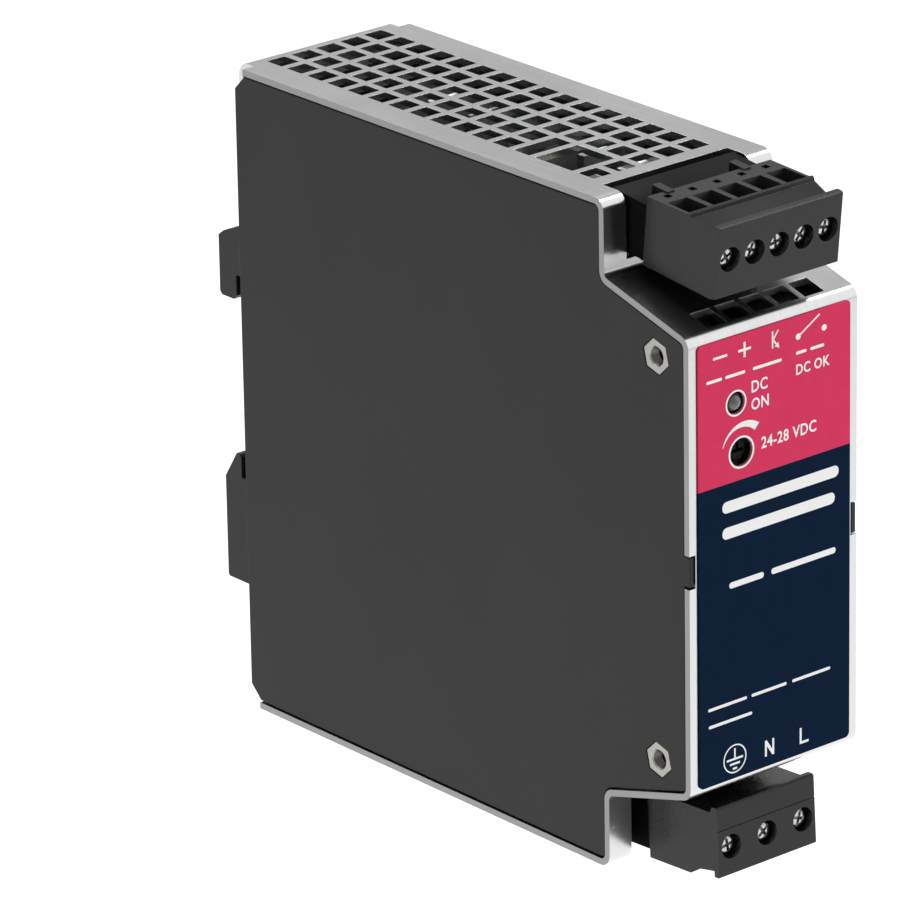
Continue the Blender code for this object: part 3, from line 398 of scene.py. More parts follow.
# -------- material helpers
class Recipe:
    """A Principled material whose colour, roughness and relief come from procedural noise."""

    def __init__(self, name, **constants):
        self.mat = bpy.data.materials.new(name)
        self.mat.use_nodes = True
        self.tree = self.mat.node_tree
        self.shader = self.tree.nodes["Principled BSDF"]
        self.coords = self.tree.nodes.new("ShaderNodeTexCoord").outputs["Object"]
        self.heights = []
        for socket, value in constants.items():
            self.shader.inputs[socket.replace("_", " ")].default_value = value

    def link(self, source, target):
        if hasattr(source, "is_output"):
            self.tree.links.new(source, target)
        else:
            target.default_value = source

    def node(self, kind, vector=None, **values):
        """A node on the piece's own coordinates; values are its sockets' constants."""
        made = self.tree.nodes.new("ShaderNode" + kind)
        for socket, value in values.items():
            made.inputs[socket.replace("_", " ")].default_value = value
        self.tree.links.new(vector or self.coords, made.inputs["Vector"])
        return made

    def stretched(self, scale):
        return self.node("Mapping", Scale=scale).outputs["Vector"]

    def noise(self, scale, detail=3.0, rough=0.5, vector=None):
        made = self.node("TexNoise", vector, Scale=scale, Detail=detail, Roughness=rough)
        return made.outputs["Fac"]

    def voronoi(self, scale):
        return self.node("TexVoronoi", Scale=scale).outputs["Distance"]

    def waves(self, scale, direction, distortion=0.0, rings=False):
        made = self.node("TexWave", Scale=scale, Distortion=distortion)
        if rings:
            made.wave_type = "RINGS"
            made.rings_direction = direction
        else:
            made.bands_direction = direction
        return made.outputs["Fac"]

    def part(self, axis):
        return self.node("SeparateXYZ").outputs[axis]

    def maths(self, operation, first, second=0.0, third=0.0):
        node = self.tree.nodes.new("ShaderNodeMath")
        node.operation = operation
        for value, socket in zip((first, second, third), node.inputs):
            self.link(value, socket)
        return node.outputs[0]

    def spread(self, factor, low, high, from_low=0.3, from_high=0.7):
        node = self.tree.nodes.new("ShaderNodeMapRange")
        node.inputs["From Min"].default_value = from_low
        node.inputs["From Max"].default_value = from_high
        node.inputs["To Min"].default_value = low
        node.inputs["To Max"].default_value = high
        self.tree.links.new(factor, node.inputs["Value"])
        return node.outputs["Result"]

    def blend(self, factor, first, second):
        node = self.tree.nodes.new("ShaderNodeMix")
        node.data_type = "RGBA"
        self.link(factor, node.inputs["Factor"])
        for value, name in ((first, "A"), (second, "B")):
            socket = [s for s in node.inputs if s.name == name and s.type == "RGBA"][0]
            self.link((*value, 1.0) if isinstance(value, tuple) else value, socket)
        return [s for s in node.outputs if s.type == "RGBA"][0]

    def tint(self, factor, first, second):
        """Two colours mixed by a noise."""
        return self.blend(self.spread(factor, 0.0, 1.0), first, second)

    def colour(self, source):
        self.link(source, self.shader.inputs["Base Color"])

    def rough(self, source):
        self.link(source, self.shader.inputs["Roughness"])

    def relief(self, height, distance, strength=1.0):
        """Stack another bump layer; distance is the relief's depth in millimetres."""
        node = self.tree.nodes.new("ShaderNodeBump")
        node.inputs["Distance"].default_value = distance * MM
        node.inputs["Strength"].default_value = strength
        self.tree.links.new(height, node.inputs["Height"])
        if self.heights:
            self.tree.links.new(self.heights[-1], node.inputs["Normal"])
        self.heights.append(node.outputs["Normal"])
        self.tree.links.new(node.outputs["Normal"], self.shader.inputs["Normal"])


def scaled(colour, factor):
    return tuple(channel * factor for channel in colour)


def plated_sheet():
    """Plated steel: faint rolling streaks along the strip, cloudy plating, a few light scuffs."""
    r = Recipe("plated_sheet", Metallic=1.0)
    streak = r.noise(1.0, 2.0, 0.5, r.stretched((1500.0, 70.0, 70.0)))
    cloud = r.noise(45.0, 3.0, 0.5)
    grit = r.noise(1500.0, 3.0, 0.6)
    scuff = r.noise(1.0, 2.0, 0.5, r.stretched((500.0, 1700.0, 1700.0)))
    tone = r.maths("ADD", r.maths("MULTIPLY", streak, 0.5), r.maths("MULTIPLY", cloud, 0.5))
    tone = r.maths("ADD", r.maths("MULTIPLY", tone, 0.8), r.maths("MULTIPLY", grit, 0.2))
    face = r.blend(r.spread(tone, 0.0, 1.0, 0.35, 0.65), (0.63, 0.63, 0.635), (0.70, 0.70, 0.70))
    sheared = r.maths("GREATER_THAN", r.maths("ABSOLUTE", r.part("X")), HALF_WIDTH - 0.03 * MM)
    r.colour(r.blend(sheared, face, (0.33, 0.33, 0.335)))
    base = r.maths("ADD", r.spread(cloud, 0.2, 0.25), r.maths("MULTIPLY", sheared, 0.2))
    r.rough(r.maths("ADD", base, r.maths("MULTIPLY", r.spread(scuff, 0.0, 1.0, 0.5, 0.8), 0.04)))
    r.relief(cloud, 0.05, 0.15)
    r.relief(streak, 0.001, 0.3)
    return r.mat


def moulded(name, colour, rough, grain, depth, specular=0.3):
    """Moulded plastic with a spark-eroded grain and faint flow clouding."""
    r = Recipe(name, Specular_IOR_Level=specular)
    fine = r.noise(grain, 2.0, 0.6)
    cells = r.voronoi(grain * 0.6)
    cloud = r.noise(60.0, 3.0, 0.5, r.stretched((1.0, 1.0, 0.5)))
    dust = r.noise(900.0, 4.0, 0.7)
    body = r.tint(cloud, scaled(colour, 0.9), scaled(colour, 1.1))
    r.colour(r.blend(r.spread(dust, 0.0, 0.2, 0.6, 0.85), body, scaled(colour, 1.8)))
    shine = r.spread(cloud, rough - 0.03, rough + 0.03)
    r.rough(r.maths("ADD", shine, r.spread(fine, -0.015, 0.015)))
    r.relief(fine, depth, 0.6)
    r.relief(cells, depth * 0.6, 0.35)
    return r.mat


def nickel(name, colour, rough, ring_scale=900.0, direction="Y"):
    """Nickel-plated turned steel: faint lathe rings about the axis; about an X axis the colour near
    the axis is darkened as painted shade in the bore.
    """
    r = Recipe(name, Metallic=1.0)
    rings = r.waves(ring_scale, direction, 1.5, rings=True)
    spots = r.noise(1600.0, 3.0, 0.6)
    face = r.tint(spots, scaled(colour, 0.85), scaled(colour, 1.08))
    # Painted shade: colour within the thread's reach of the X axis is darkened to stand in for the
    # shade inside the nut's bore; it also darkens the cover screws' shanks and head centres.
    if direction == "X":
        reach = r.maths("POWER", r.part("Y"), 2.0)
        reach = r.maths("SQRT", r.maths("ADD", reach, r.maths("POWER", r.part("Z"), 2.0)))
        thread = r.maths("LESS_THAN", reach, BOLT_RADIUS + 0.42 * MM)
        face = r.blend(thread, face, scaled(colour, 0.35))
    r.colour(face)
    r.rough(r.spread(spots, rough - 0.06, rough + 0.12))
    r.relief(rings, 0.004, 0.3)
    r.relief(spots, 0.01, 0.25)
    return r.mat


def metal(name, colour, rough, scale=700.0, depth=0.01):
    r = Recipe(name, Metallic=1.0)
    cloud = r.noise(scale, 4.0, 0.6)
    draw = r.noise(1.0, 2.0, 0.5, r.stretched((4000.0, 400.0, 4000.0)))
    r.colour(r.tint(cloud, scaled(colour, 0.8), scaled(colour, 1.1)))
    r.rough(r.spread(cloud, rough - 0.06, rough + 0.1))
    r.relief(draw, depth, 0.3)
    return r.mat


def label_film():
    """Two-colour printed film: screen-print mottle and a satin overlay."""
    r = Recipe("label_film", Specular_IOR_Level=0.03)
    above = r.maths("GREATER_THAN", r.part("Z"), COLOUR_SPLIT_Z)
    mottle = r.noise(420.0, 5.0, 0.6)
    weave = r.noise(5200.0, 2.0, 0.5)
    red = r.tint(mottle, (0.690, 0.042, 0.116), (0.730, 0.048, 0.128))
    navy = r.tint(mottle, (0.0004, 0.0102, 0.0330), (0.0006, 0.0124, 0.0385))
    r.colour(r.blend(above, navy, red))
    r.rough(r.spread(weave, 0.38, 0.5))
    r.relief(weave, 0.006, 0.3)
    r.relief(mottle, 0.01, 0.2)
    return r.mat


def label_ink():
    r = Recipe("label_ink", Specular_IOR_Level=0.15)
    grain = r.noise(3800.0, 3.0, 0.6)
    r.colour(r.tint(grain, (0.92, 0.92, 0.92), (0.97, 0.97, 0.97)))
    r.rough(r.spread(grain, 0.42, 0.55))
    r.relief(grain, 0.005, 0.3)
    return r.mat


def lamp_epoxy():
    """Smoky diffused epoxy over an unlit lamp die."""
    coat = {"Coat_Weight": 0.8, "Coat_Roughness": 0.05}
    r = Recipe("lamp_lens", Transmission_Weight=0.35, IOR=1.52, **coat)
    haze = r.noise(900.0, 3.0, 0.6)
    r.colour(r.tint(haze, (0.120, 0.130, 0.124), (0.160, 0.170, 0.160)))
    r.rough(r.spread(haze, 0.16, 0.24))
    r.relief(haze, 0.01, 0.15)
    return r.mat


def laminate():
    """Green solder mask over copper tracks on glass laminate."""
    r = Recipe("board_laminate", Coat_Weight=0.3, Coat_Roughness=0.25)
    tracks = r.waves(120.0, "Z", 6.0)
    copper = r.maths("GREATER_THAN", tracks, 0.72)
    weave = r.maths("MULTIPLY", r.waves(1300.0, "Y"), r.waves(1300.0, "Z"))
    level = r.spread(weave, 0.0, 1.0, 0.0, 1.0)
    glass = r.blend(level, (0.004, 0.018, 0.010), (0.006, 0.024, 0.013))
    r.colour(r.blend(copper, glass, (0.010, 0.036, 0.018)))
    r.rough(r.spread(weave, 0.3, 0.42, 0.0, 1.0))
    r.relief(tracks, 0.03, 0.4)
    r.relief(weave, 0.008, 0.3)
    return r.mat


def ferrite():
    r = Recipe("ferrite")
    grit = r.noise(2600.0, 5.0, 0.7)
    pits = r.voronoi(1100.0)
    r.colour(r.tint(grit, (0.018, 0.018, 0.020), (0.050, 0.049, 0.050)))
    r.rough(r.spread(grit, 0.5, 0.75))
    r.relief(grit, 0.03, 0.5)
    r.relief(pits, 0.03, 0.3)
    return r.mat


def winding_tape():
    """Layers of yellow polyester tape with lapped edges."""
    r = Recipe("winding_tape", Coat_Weight=0.3, Coat_Roughness=0.2)
    laps = r.waves(55.0, "Z", 0.8)
    wrinkle = r.noise(380.0, 4.0, 0.6)
    r.colour(r.blend(r.spread(laps, 0.0, 1.0, 0.0, 1.0), (0.62, 0.40, 0.045), (0.74, 0.52, 0.08)))
    r.rough(r.spread(wrinkle, 0.3, 0.45))
    r.relief(laps, 0.06, 0.6)
    r.relief(wrinkle, 0.04, 0.3)
    return r.mat


def sleeve(name, colour, stripe):
    """Shrink sleeve of an electrolytic capacitor, with its pale polarity band."""
    r = Recipe(name, Coat_Weight=0.35, Coat_Roughness=0.18)
    wrinkle = r.noise(320.0, 3.0, 0.5)
    fleck = r.noise(2200.0, 2.0, 0.5)
    lane = r.maths("LESS_THAN", r.part("Y"), stripe)
    body = r.tint(fleck, scaled(colour, 0.85), scaled(colour, 1.2))
    r.colour(r.blend(lane, body, (0.42, 0.43, 0.46)))
    r.rough(r.spread(wrinkle, 0.28, 0.42))
    r.relief(wrinkle, 0.04, 0.35)
    return r.mat


def enamelled_copper():
    r = Recipe("enamelled_copper", Metallic=0.85, Coat_Weight=0.5, Coat_Roughness=0.12)
    varnish = r.noise(700.0, 4.0, 0.6)
    r.colour(r.tint(varnish, (0.46, 0.15, 0.05), (0.62, 0.24, 0.09)))
    r.rough(r.spread(varnish, 0.24, 0.36))
    r.relief(varnish, 0.02, 0.25)
    return r.mat


def studio_floor():
    r = Recipe("studio_floor")
    paper = r.noise(9.0, 5.0, 0.6)
    r.colour(r.tint(paper, (0.90, 0.90, 0.90), (0.93, 0.93, 0.93)))
    r.rough(r.spread(paper, 0.75, 0.9))
    return r.mat


# -------- folded chassis
def filleted(points, radius, steps=9):
    """Round the inner corners of an open path; returns points with their normals."""
    path = []
    count = len(points)
    for index, point in enumerate(points):
        here = Vector(point)
        if index in (0, count - 1):
            other = Vector(points[1] if index == 0 else points[-2])
            along = (other - here).normalized() * (1 if index == 0 else -1)
            path.append((here, Vector((-along.y, along.x))))
            continue
        before = (here - Vector(points[index - 1])).normalized()
        after = (Vector(points[index + 1]) - here).normalized()
        sign = 1.0 if before.x * after.y - before.y * after.x > 0.0 else -1.0
        angle = before.angle(after)
        start = here - before * radius * math.tan(angle / 2.0)
        centre = start + Vector((-before.y, before.x)) * radius * sign
        for step in range(steps + 1):
            swing = Matrix.Rotation(sign * angle * step / steps, 2)
            along = swing @ before
            normal = Vector((-along.y, along.x))
            path.append((centre - normal * radius * sign, normal))
    return path


def sheet_path(with_flanges):
    """Middle line of the folded sheet in Y and Z, from the lower rear round to the upper rear."""
    half = 0.5 * SHEET
    slope = math.atan2(STEP_Z - NOSE_Z, STEP_Y - FRONT_Y)
    lean = half * math.tan(slope) - half / math.cos(slope)
    step = STEP_Y + half
    top = HALF_HEIGHT - half
    upper = [(FRONT_Y + half, NOSE_Z + lean), (step, STEP_Z + lean), (step, top)]
    if with_flanges:
        upper += [(REAR_Y - half, top), (REAR_Y - half, top - FLANGE_LENGTH)]
    else:
        upper += [(REBATE_Y, top)]
    lower = [(y, -z) for y, z in reversed(upper)]
    return filleted(lower + upper, BEND_RADIUS)


def offset_line(path, distance):
    return [(point + normal * distance).to_tuple() for point, normal in path]


def grid_holes(side):
    """Cutters of one ventilated face; the top joins some holes into larger openings."""
    low_z, high_z = sorted((side * (HALF_HEIGHT - 2.5 * MM), side * (HALF_HEIGHT + MM)))
    half = 0.5 * HOLE
    pairs = []
    for row in range(HOLE_ROWS):
        y = FIRST_ROW_Y + row * HOLE_PITCH
        for column in range(HOLE_COLUMNS):
            x = (column - 2) * HOLE_PITCH
            if side > 0 and row in (1, 2, 3) and column in (0, 1):
                continue
            pairs.append(((x - half, y - half, low_z), (x + half, y + half, high_z)))
    if side > 0:
        left = -2 * HOLE_PITCH - half
        right = -HOLE_PITCH + half
        for first, last in ((1, 2), (3, 3)):
            near = FIRST_ROW_Y + first * HOLE_PITCH - half
            far = FIRST_ROW_Y + last * HOLE_PITCH + half
            pairs.append(((left, near, low_z), (right, far, high_z)))
    return pairs


def cut_front_holes(target, end):
    for x, z, radius in FRONT_HOLES:
        through = [(FRONT_Y - MM, radius), (end, radius)]
        cut(target, lathes("hole", [(x, z)], 1, through))


def build_band(mat):
    path = sheet_path(with_flanges=True)
    outline = offset_line(path, -0.5 * SHEET) + offset_line(path, 0.5 * SHEET)[::-1]
    band = prism("folded_chassis", outline, 0, -HALF_WIDTH, HALF_WIDTH)
    for side in (1, -1):
        cut(band, boxes(grid_holes(side)))
        half = 0.5 * VENT
        low, high = sorted((side * 35.0 * MM, side * 43.0 * MM))
        places = [(column - 2) * HOLE_PITCH for column in range(HOLE_COLUMNS)]
        cut(band, row_boxes(places, half, (VENT_Y - half, low), (VENT_Y + half, high)))
        low, high = sorted((side * NOTCH_Z, side * (HALF_HEIGHT + 2.0 * MM)))
        notch = ((-NOTCH_HALF, STEP_Y - 2.0 * MM, low), (NOTCH_HALF, NOTCH_REAR_Y, high))
        cut(band, boxes([notch]))
        low, high = sorted((side * SLIT_Z, side * (NOTCH_Z + MM)))
        slit = ((-SLIT_HALF, STEP_Y - 0.4 * MM, low), (SLIT_HALF, STEP_Y + 1.6 * MM, high))
        cut(band, boxes([slit]))
        tall = HALF_HEIGHT + 2.0 * MM
        low, high = sorted((side * FLANGE_HALF, side * (HALF_WIDTH + MM)))
        cut(band, boxes([((low, REBATE_Y, -tall), (high, MM, tall))]))
        low, high = sorted((side * TAB_X, side * (HALF_WIDTH + MM)))
        tab = ((low, FRONT_Y - MM, -TAB_HALF_Z), (high, FRONT_Y + 2.0 * MM, TAB_HALF_Z))
        cut(band, boxes([tab]))
    cut_front_holes(band, FRONT_Y + 2.0 * MM)
    through = [(REAR_Y - 2.0 * MM, 1.8 * MM), (REAR_Y + MM, 1.8 * MM)]
    cut(band, lathes("flange_holes", [(0.0, FLANGE_SCREW_Z), (0.0, -FLANGE_SCREW_Z)], 1, through))
    dress(band, mat, ("chassis_band",), 0.16)


# -------- side panels
def panel_outline():
    """Inner edge of the sheet less a gap, closed at the rear with chamfered corners."""
    line = offset_line(sheet_path(with_flanges=False), -0.5 * SHEET - GAP)
    top = line[-1][1]
    drop = 2.4 * MM
    return line + [(PANEL_REAR_Y, top - drop), (PANEL_REAR_Y, -top + drop)]


def hexagon(flats, y, z):
    return circle((y, z), 0.5 * flats / math.cos(math.radians(30.0)), 6, NUT_TURN)


def build_side_panel(name, node, side, mat):
    face = PANEL_FACE_X
    inner = face - PANEL
    panel = prism(name, panel_outline(), 0, inner, face)
    path = sheet_path(with_flanges=False)
    near = offset_line(path, -0.5 * SHEET - GAP)
    far = offset_line(path, -0.5 * SHEET - GAP - RIM)
    rim = prism("rim", near + far[::-1], 0, inner - RIM_DEPTH, inner + 0.5 * MM)
    clear = 2.0 * MM
    for low, high in ((NOTCH_Z - clear, 0.1), (-0.1, -NOTCH_Z + clear)):
        opening = ((0.0, STEP_Y - clear, low), (inner - 0.2 * MM, NOTCH_REAR_Y + clear, high))
        cut(rim, boxes([opening]))
    join(panel, rim)
    tab_low = (TAB_X + GAP, FRONT_Y + 0.1 * MM, -TAB_HALF_Z + GAP)
    tab_high = (face, FRONT_Y + SHEET + 2.0 * MM, TAB_HALF_Z - GAP)
    join(panel, boxes([(tab_low, tab_high)]))
    depth = 14.0 * MM if side > 0 else 8.0 * MM
    for z in (BOLT_Z, -BOLT_Z):
        stations = [(inner - depth, BOSS_RADIUS), (inner + 0.5 * MM, BOSS_RADIUS)]
        join(panel, lathes("boss", [(BOLT_Y, z)], 0, stations))
        bore = BOLT_RADIUS + GAP
        stations = [(inner - depth - MM, bore), (face + MM, bore)]
        cut(panel, lathes("bore", [(BOLT_Y, z)], 0, stations))
        if side < 0:
            pocket = hexagon(NUT_FLATS + 0.3 * MM, BOLT_Y, z)
            cut(panel, prism("pocket", pocket, 0, face - 2.2 * MM, face + MM))
        else:
            stations = [(face - 1.9 * MM, 1.4 * MM), (face - 1.6 * MM, 1.4 * MM)]
            stations += [(face - 0.3 * MM, 2.7 * MM), (face + MM, 2.7 * MM)]
            cut(panel, lathes("sink", [(BOLT_Y, z)], 0, stations))
    if side < 0:
        apply_matrix(panel, Matrix.Diagonal((-1.0, 1.0, 1.0, 1.0)))
    dress(panel, mat, (node,), 0.15)


# -------- fasteners
def thread(level, stop, crest, root):
    """Stations of a thread from level to just short of stop."""
    stations = []
    while level < stop:
        stations += [(level, crest), (level + 0.5 * THREAD_PITCH, root)]
        level += THREAD_PITCH
    return stations


def drive_recess(screw, axis, face, depth, arm, width, slot_reach=0.0):
    """Cross recess with tapering arms, and a plain slot across the head if it has one."""
    floor_level = face - depth
    mouth = face + MM
    for across in (0, 1):
        levels = []
        for level, share in ((floor_level, 0.45), (face, 1.0), (mouth, 1.0)):
            half = (arm * share, width * (0.75 + 0.25 * share))
            levels.append((level, *(half if across else half[::-1])))
        bm = bmesh.new()
        add_tapered(bm, axis, (0.0, 0.0), levels)
        cut(screw, mesh_object("recess", bm))
    if slot_reach > 0.0:
        low_corner = on_axis(axis, face - 0.55 * MM, -slot_reach, -width)
        high_corner = on_axis(axis, mouth, slot_reach, width)
        cut(screw, boxes([(low_corner, high_corner)]))


def place_turned(obj, point, turn, axis):
    swing = Matrix.Rotation(math.radians(turn), 4, axis)
    obj.matrix_world = Matrix.Translation(point) @ swing


def build_pan_screw(name, node, mat, turn):
    """Pan-head screw driven from the rear, with a domed head and cross recess."""
    low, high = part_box(node)
    centre = middle(node)
    length = high.y - low.y
    stations = [(-length, 0.3 * PAN_SHANK), (-length + 0.9 * MM, PAN_SHANK * 0.85)]
    stations += thread(-length + 1.1 * MM, -1.6 * MM, PAN_SHANK, PAN_SHANK * 0.82)
    stations += [(-1.2 * MM, PAN_SHANK), (-1.2 * MM, PAN_HEAD), (-PAN_HEIGHT, PAN_HEAD)]
    for degrees in (30, 50, 70, 82):
        angle = math.radians(degrees)
        dome = PAN_HEAD * (0.35 + 0.65 * math.cos(angle))
        stations.append((-PAN_HEIGHT + PAN_HEIGHT * math.sin(angle), dome))
    screw = lathes(name, [(0.0, 0.0)], 1, stations, 36)
    drive_recess(screw, 1, -0.05 * MM, 0.9 * MM, 1.15 * MM, 0.24 * MM)
    place_turned(screw, (centre.x, high.y, centre.z), turn, "Y")
    dress(screw, mat, (node,), 0.05, 1, 35.0, slot="zinc_steel")


def build_cover_screw(name, node, mat, turn):
    """Long countersunk screw that crosses the unit into the press-in nut."""
    low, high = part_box(node)
    centre = middle(node)
    length = high.x - low.x - BOLT_SHORT
    stations = [(-length, 0.6 * BOLT_RADIUS), (-length + 0.4 * MM, BOLT_RADIUS * 0.9)]
    end = -length + BOLT_THREAD
    stations += thread(-length + 0.6 * MM, end, BOLT_RADIUS, BOLT_RADIUS * 0.84)
    stations += [(-1.5 * MM, BOLT_RADIUS), mm(-0.3, 2.3)]
    stations += [mm(-0.08, 2.3), (0.0, 2.22 * MM)]
    screw = lathes(name, [(0.0, 0.0)], 0, stations, 40)
    drive_recess(screw, 0, 0.0, 1.0 * MM, 1.3 * MM, 0.27 * MM)
    place_turned(screw, (high.x, centre.y, centre.z), turn, "X")
    dress(screw, mat, (node,), 0.05, 1, 35.0, slot="zinc_steel")


def build_nut(name, node, mat):
    """Press-in hexagon nut with a chamfered mouth and a threaded bore."""
    low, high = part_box(node)
    centre = middle(node)
    nut = prism(name, hexagon(NUT_FLATS, 0.0, 0.0), 0, low.x - centre.x, high.x - centre.x)
    bore = BOLT_RADIUS + GAP
    outer = low.x - centre.x
    stations = [(outer - 0.3 * MM, bore + 0.42 * MM), (outer, bore + 0.32 * MM)]
    stations.append((outer + 0.35 * MM, bore))
    level = outer + 0.42 * MM
    while level < high.x - centre.x:
        stations += [(level, bore + 0.14 * MM), (level + 0.16 * MM, bore - 0.02 * MM)]
        level += 0.3 * MM
    stations.append((high.x - centre.x + 0.5 * MM, bore))
    cut(nut, lathes("bore", [(0.0, 0.0)], 0, stations))
    nut.matrix_world = Matrix.Translation(centre)
    dress(nut, mat, (node,), 0.1, 2, 35.0, slot="zinc_steel")


def build_clamp_screws(plug, mat):
    """Terminal screws: slotted cross heads, each stopped at its own angle."""
    for index, x in enumerate(plug.poles):
        node = f"clamp_screw_{plug.name}_{index + 1}"
        shank_end = CAGE_HIGH_U - 2.6 * MM - SCREW_FACE_U
        collar = CAGE_HIGH_U + 1.5 * MM - SCREW_FACE_U
        stations = [(shank_end, 0.8 * MM), (shank_end + 0.3 * MM, 1.0 * MM)]
        stations += thread(shank_end + 0.4 * MM, collar - 0.5 * MM, 1.15 * MM, 0.98 * MM)
        stations += [(collar, 1.15 * MM), (collar, SCREW_RADIUS), (-0.45 * MM, SCREW_RADIUS)]
        stations += [(-0.22 * MM, SCREW_RADIUS - 0.08 * MM), (-0.08 * MM, SCREW_RADIUS - 0.25 * MM)]
        stations += [(-0.02 * MM, SCREW_RADIUS - 0.55 * MM), (0.0, SCREW_RADIUS - 0.9 * MM)]
        screw = lathes(node + "_detail", [(0.0, 0.0)], 1, stations, 36)
        drive_recess(screw, 1, 0.0, 0.95 * MM, 1.12 * MM, 0.27 * MM, 2.0 * MM)
        place = plug.matrix @ Matrix.Translation((x, SCREW_FACE_U, plug.screw_v))
        screw.matrix_world = place @ Matrix.Rotation(math.radians(plug.slot_turns[index]), 4, "Y")
        dress(screw, mat, (node,), 0.07, 2, 35.0, node, "zinc_steel")


# -------- terminal blocks
def build_plug(plug, mat):
    outline = [mm(*point) for point in plug.profile]
    body = prism("terminal_block_" + plug.name, outline, 0, -plug.half_width, plug.half_width)
    low_v = plug.header_v[0] + 1.3 * MM
    high_v = plug.header_v[1] - 1.3 * MM
    nose_half = plug.half_width - 1.55 * MM
    join(body, boxes([((-nose_half, NOSE_LOW_U, low_v), (nose_half, 0.5 * MM, high_v))]))
    top_v = plug.profile[-1][1] * MM
    v = plug.screw_v
    for x in plug.locks:
        low = (x - 0.75 * MM, -2.9 * MM, plug.header_v[1] + GAP)
        join(body, boxes([(low, (x + 0.75 * MM, 0.6 * MM, top_v + 0.25 * MM))]))
    half_v = 2.5 * MM
    high_u = 12.4 * MM
    cut(body, row_boxes(plug.poles, 2.05 * MM, (3.1 * MM, v - half_v), (high_u, v + half_v)))
    near = (5.0 * MM, v + 1.0 * MM)
    cut(body, row_boxes(plug.poles, 1.5 * MM, near, (8.0 * MM, top_v - 1.2 * MM)))
    levels = ((top_v - 2.6 * MM, *mm(1.4, 1.4)), (top_v + 1.2 * MM, *mm(2.2, 2.9)))
    bm = bmesh.new()
    for x in plug.poles:
        add_tapered(bm, 2, (x, 6.1 * MM), levels)
    cut(body, mesh_object("funnels", bm))
    stations = [(high_u - 0.5 * MM, SCREW_BORE), (17.0 * MM, SCREW_BORE)]
    cut(body, lathes("screw_bores", [(x, v) for x in plug.poles], 1, stations))
    near = (0.9 * MM, top_v - 2.0 * MM)
    cut(body, row_boxes(plug.poles, 0.6 * MM, near, (2.1 * MM, top_v + MM)))
    socket = PIN_HALF + GAP
    near = (NOSE_LOW_U - MM, v - 1.5 * MM - socket)
    cut(body, row_boxes(plug.poles, socket, near, (2.3 * MM, v - 1.5 * MM + socket)))
    apply_matrix(body, plug.matrix)
    name = "plug_" + plug.name
    dress(body, mat, (name,), 0.12, 2, 15.0, name)


# -------- front
def rounded_rectangle(low_x, low_z, high_x, high_z, corner, steps=8):
    outline = []
    for x, z, start in (
        (high_x - corner, high_z - corner, 0), (low_x + corner, high_z - corner, 90),
        (low_x + corner, low_z + corner, 180), (high_x - corner, low_z + corner, 270),
    ):
        for step in range(steps + 1):
            angle = math.radians(start + 90.0 * step / steps)
            outline.append((x + corner * math.cos(angle), z + corner * math.sin(angle)))
    return outline


def build_label(mat):
    corners = (LABEL_LOW.x, LABEL_LOW.z, LABEL_HIGH.x, LABEL_HIGH.z)
    outline = rounded_rectangle(*corners, LABEL_CORNER)
    label = prism("printed_label", outline, 1, LABEL_LOW.y, LABEL_HIGH.y)
    cut_front_holes(label, FRONT_Y + MM)
    dress(label, mat, ("front_label",), 0.04, 1)


class Ink:
    """Raised print on the label, drawn in X and Z millimetres."""

    def __init__(self):
        self.bm = bmesh.new()

    def shape(self, outline):
        points = [mm(*point) for point in outline]
        add_prism(self.bm, points, 1, INK_Y - INK, INK_Y + 0.01 * MM)

    def stroke(self, start, end, width=0.3):
        a = Vector(start)
        b = Vector(end)
        across = (b - a).normalized().orthogonal() * 0.5 * width
        self.shape([tuple(a + across), tuple(b + across), tuple(b - across), tuple(a - across)])

    def plus(self, centre, half_x, half_z, half_bar):
        """Plus sign as one outline."""
        corners = []
        for a, b in ((1, 1), (-1, 1), (-1, -1), (1, -1)):
            inner = (a * half_bar, b * half_bar)
            near = [(a * half_x, b * half_bar), inner, (a * half_bar, b * half_z)]
            corners += near if a * b > 0 else near[::-1]
        self.shape([(centre[0] + x, centre[1] + z) for x, z in corners])

    def dot(self, centre, radius):
        self.shape(circle(centre, radius, 20))

    def words(self, text, place, height):
        """Generic legend in the built-in font; place is its lower left corner."""
        curve = bpy.data.curves.new("legend", "FONT")
        curve.body = text
        curve.size = height * 1.36 * MM
        curve.resolution_u = 3
        curve.extrude = 0.5 * INK + 0.005 * MM
        curve.offset = 0.045 * MM
        curve.space_character = 1.08
        source = bpy.data.objects.new("legend", curve)
        bpy.context.scene.collection.objects.link(source)
        graph = bpy.context.evaluated_depsgraph_get()
        mesh = bpy.data.meshes.new_from_object(source.evaluated_get(graph))
        mesh.transform(Matrix.Diagonal((0.88, 1.0, 1.0, 1.0)))
        mesh.transform(Matrix.Rotation(math.radians(90.0), 4, "X"))
        level = INK_Y - 0.5 * INK + 0.005 * MM
        mesh.transform(Matrix.Translation((place[0] * MM, level, place[1] * MM)))
        self.bm.from_mesh(mesh)
        bpy.data.objects.remove(source, do_unlink=True)
        bpy.data.meshes.remove(mesh)

    def ring(self, centre, outer, inner):
        low = INK_Y - INK
        high = INK_Y + 0.01 * MM
        corners = ((low, outer), (low, inner), (high, inner), (high, outer))
        rings = [
            [(x * MM, level, z * MM) for x, z in circle(centre, radius, 40)]
            for level, radius in corners
        ]
        add_rings(self.bm, rings, closed=True)


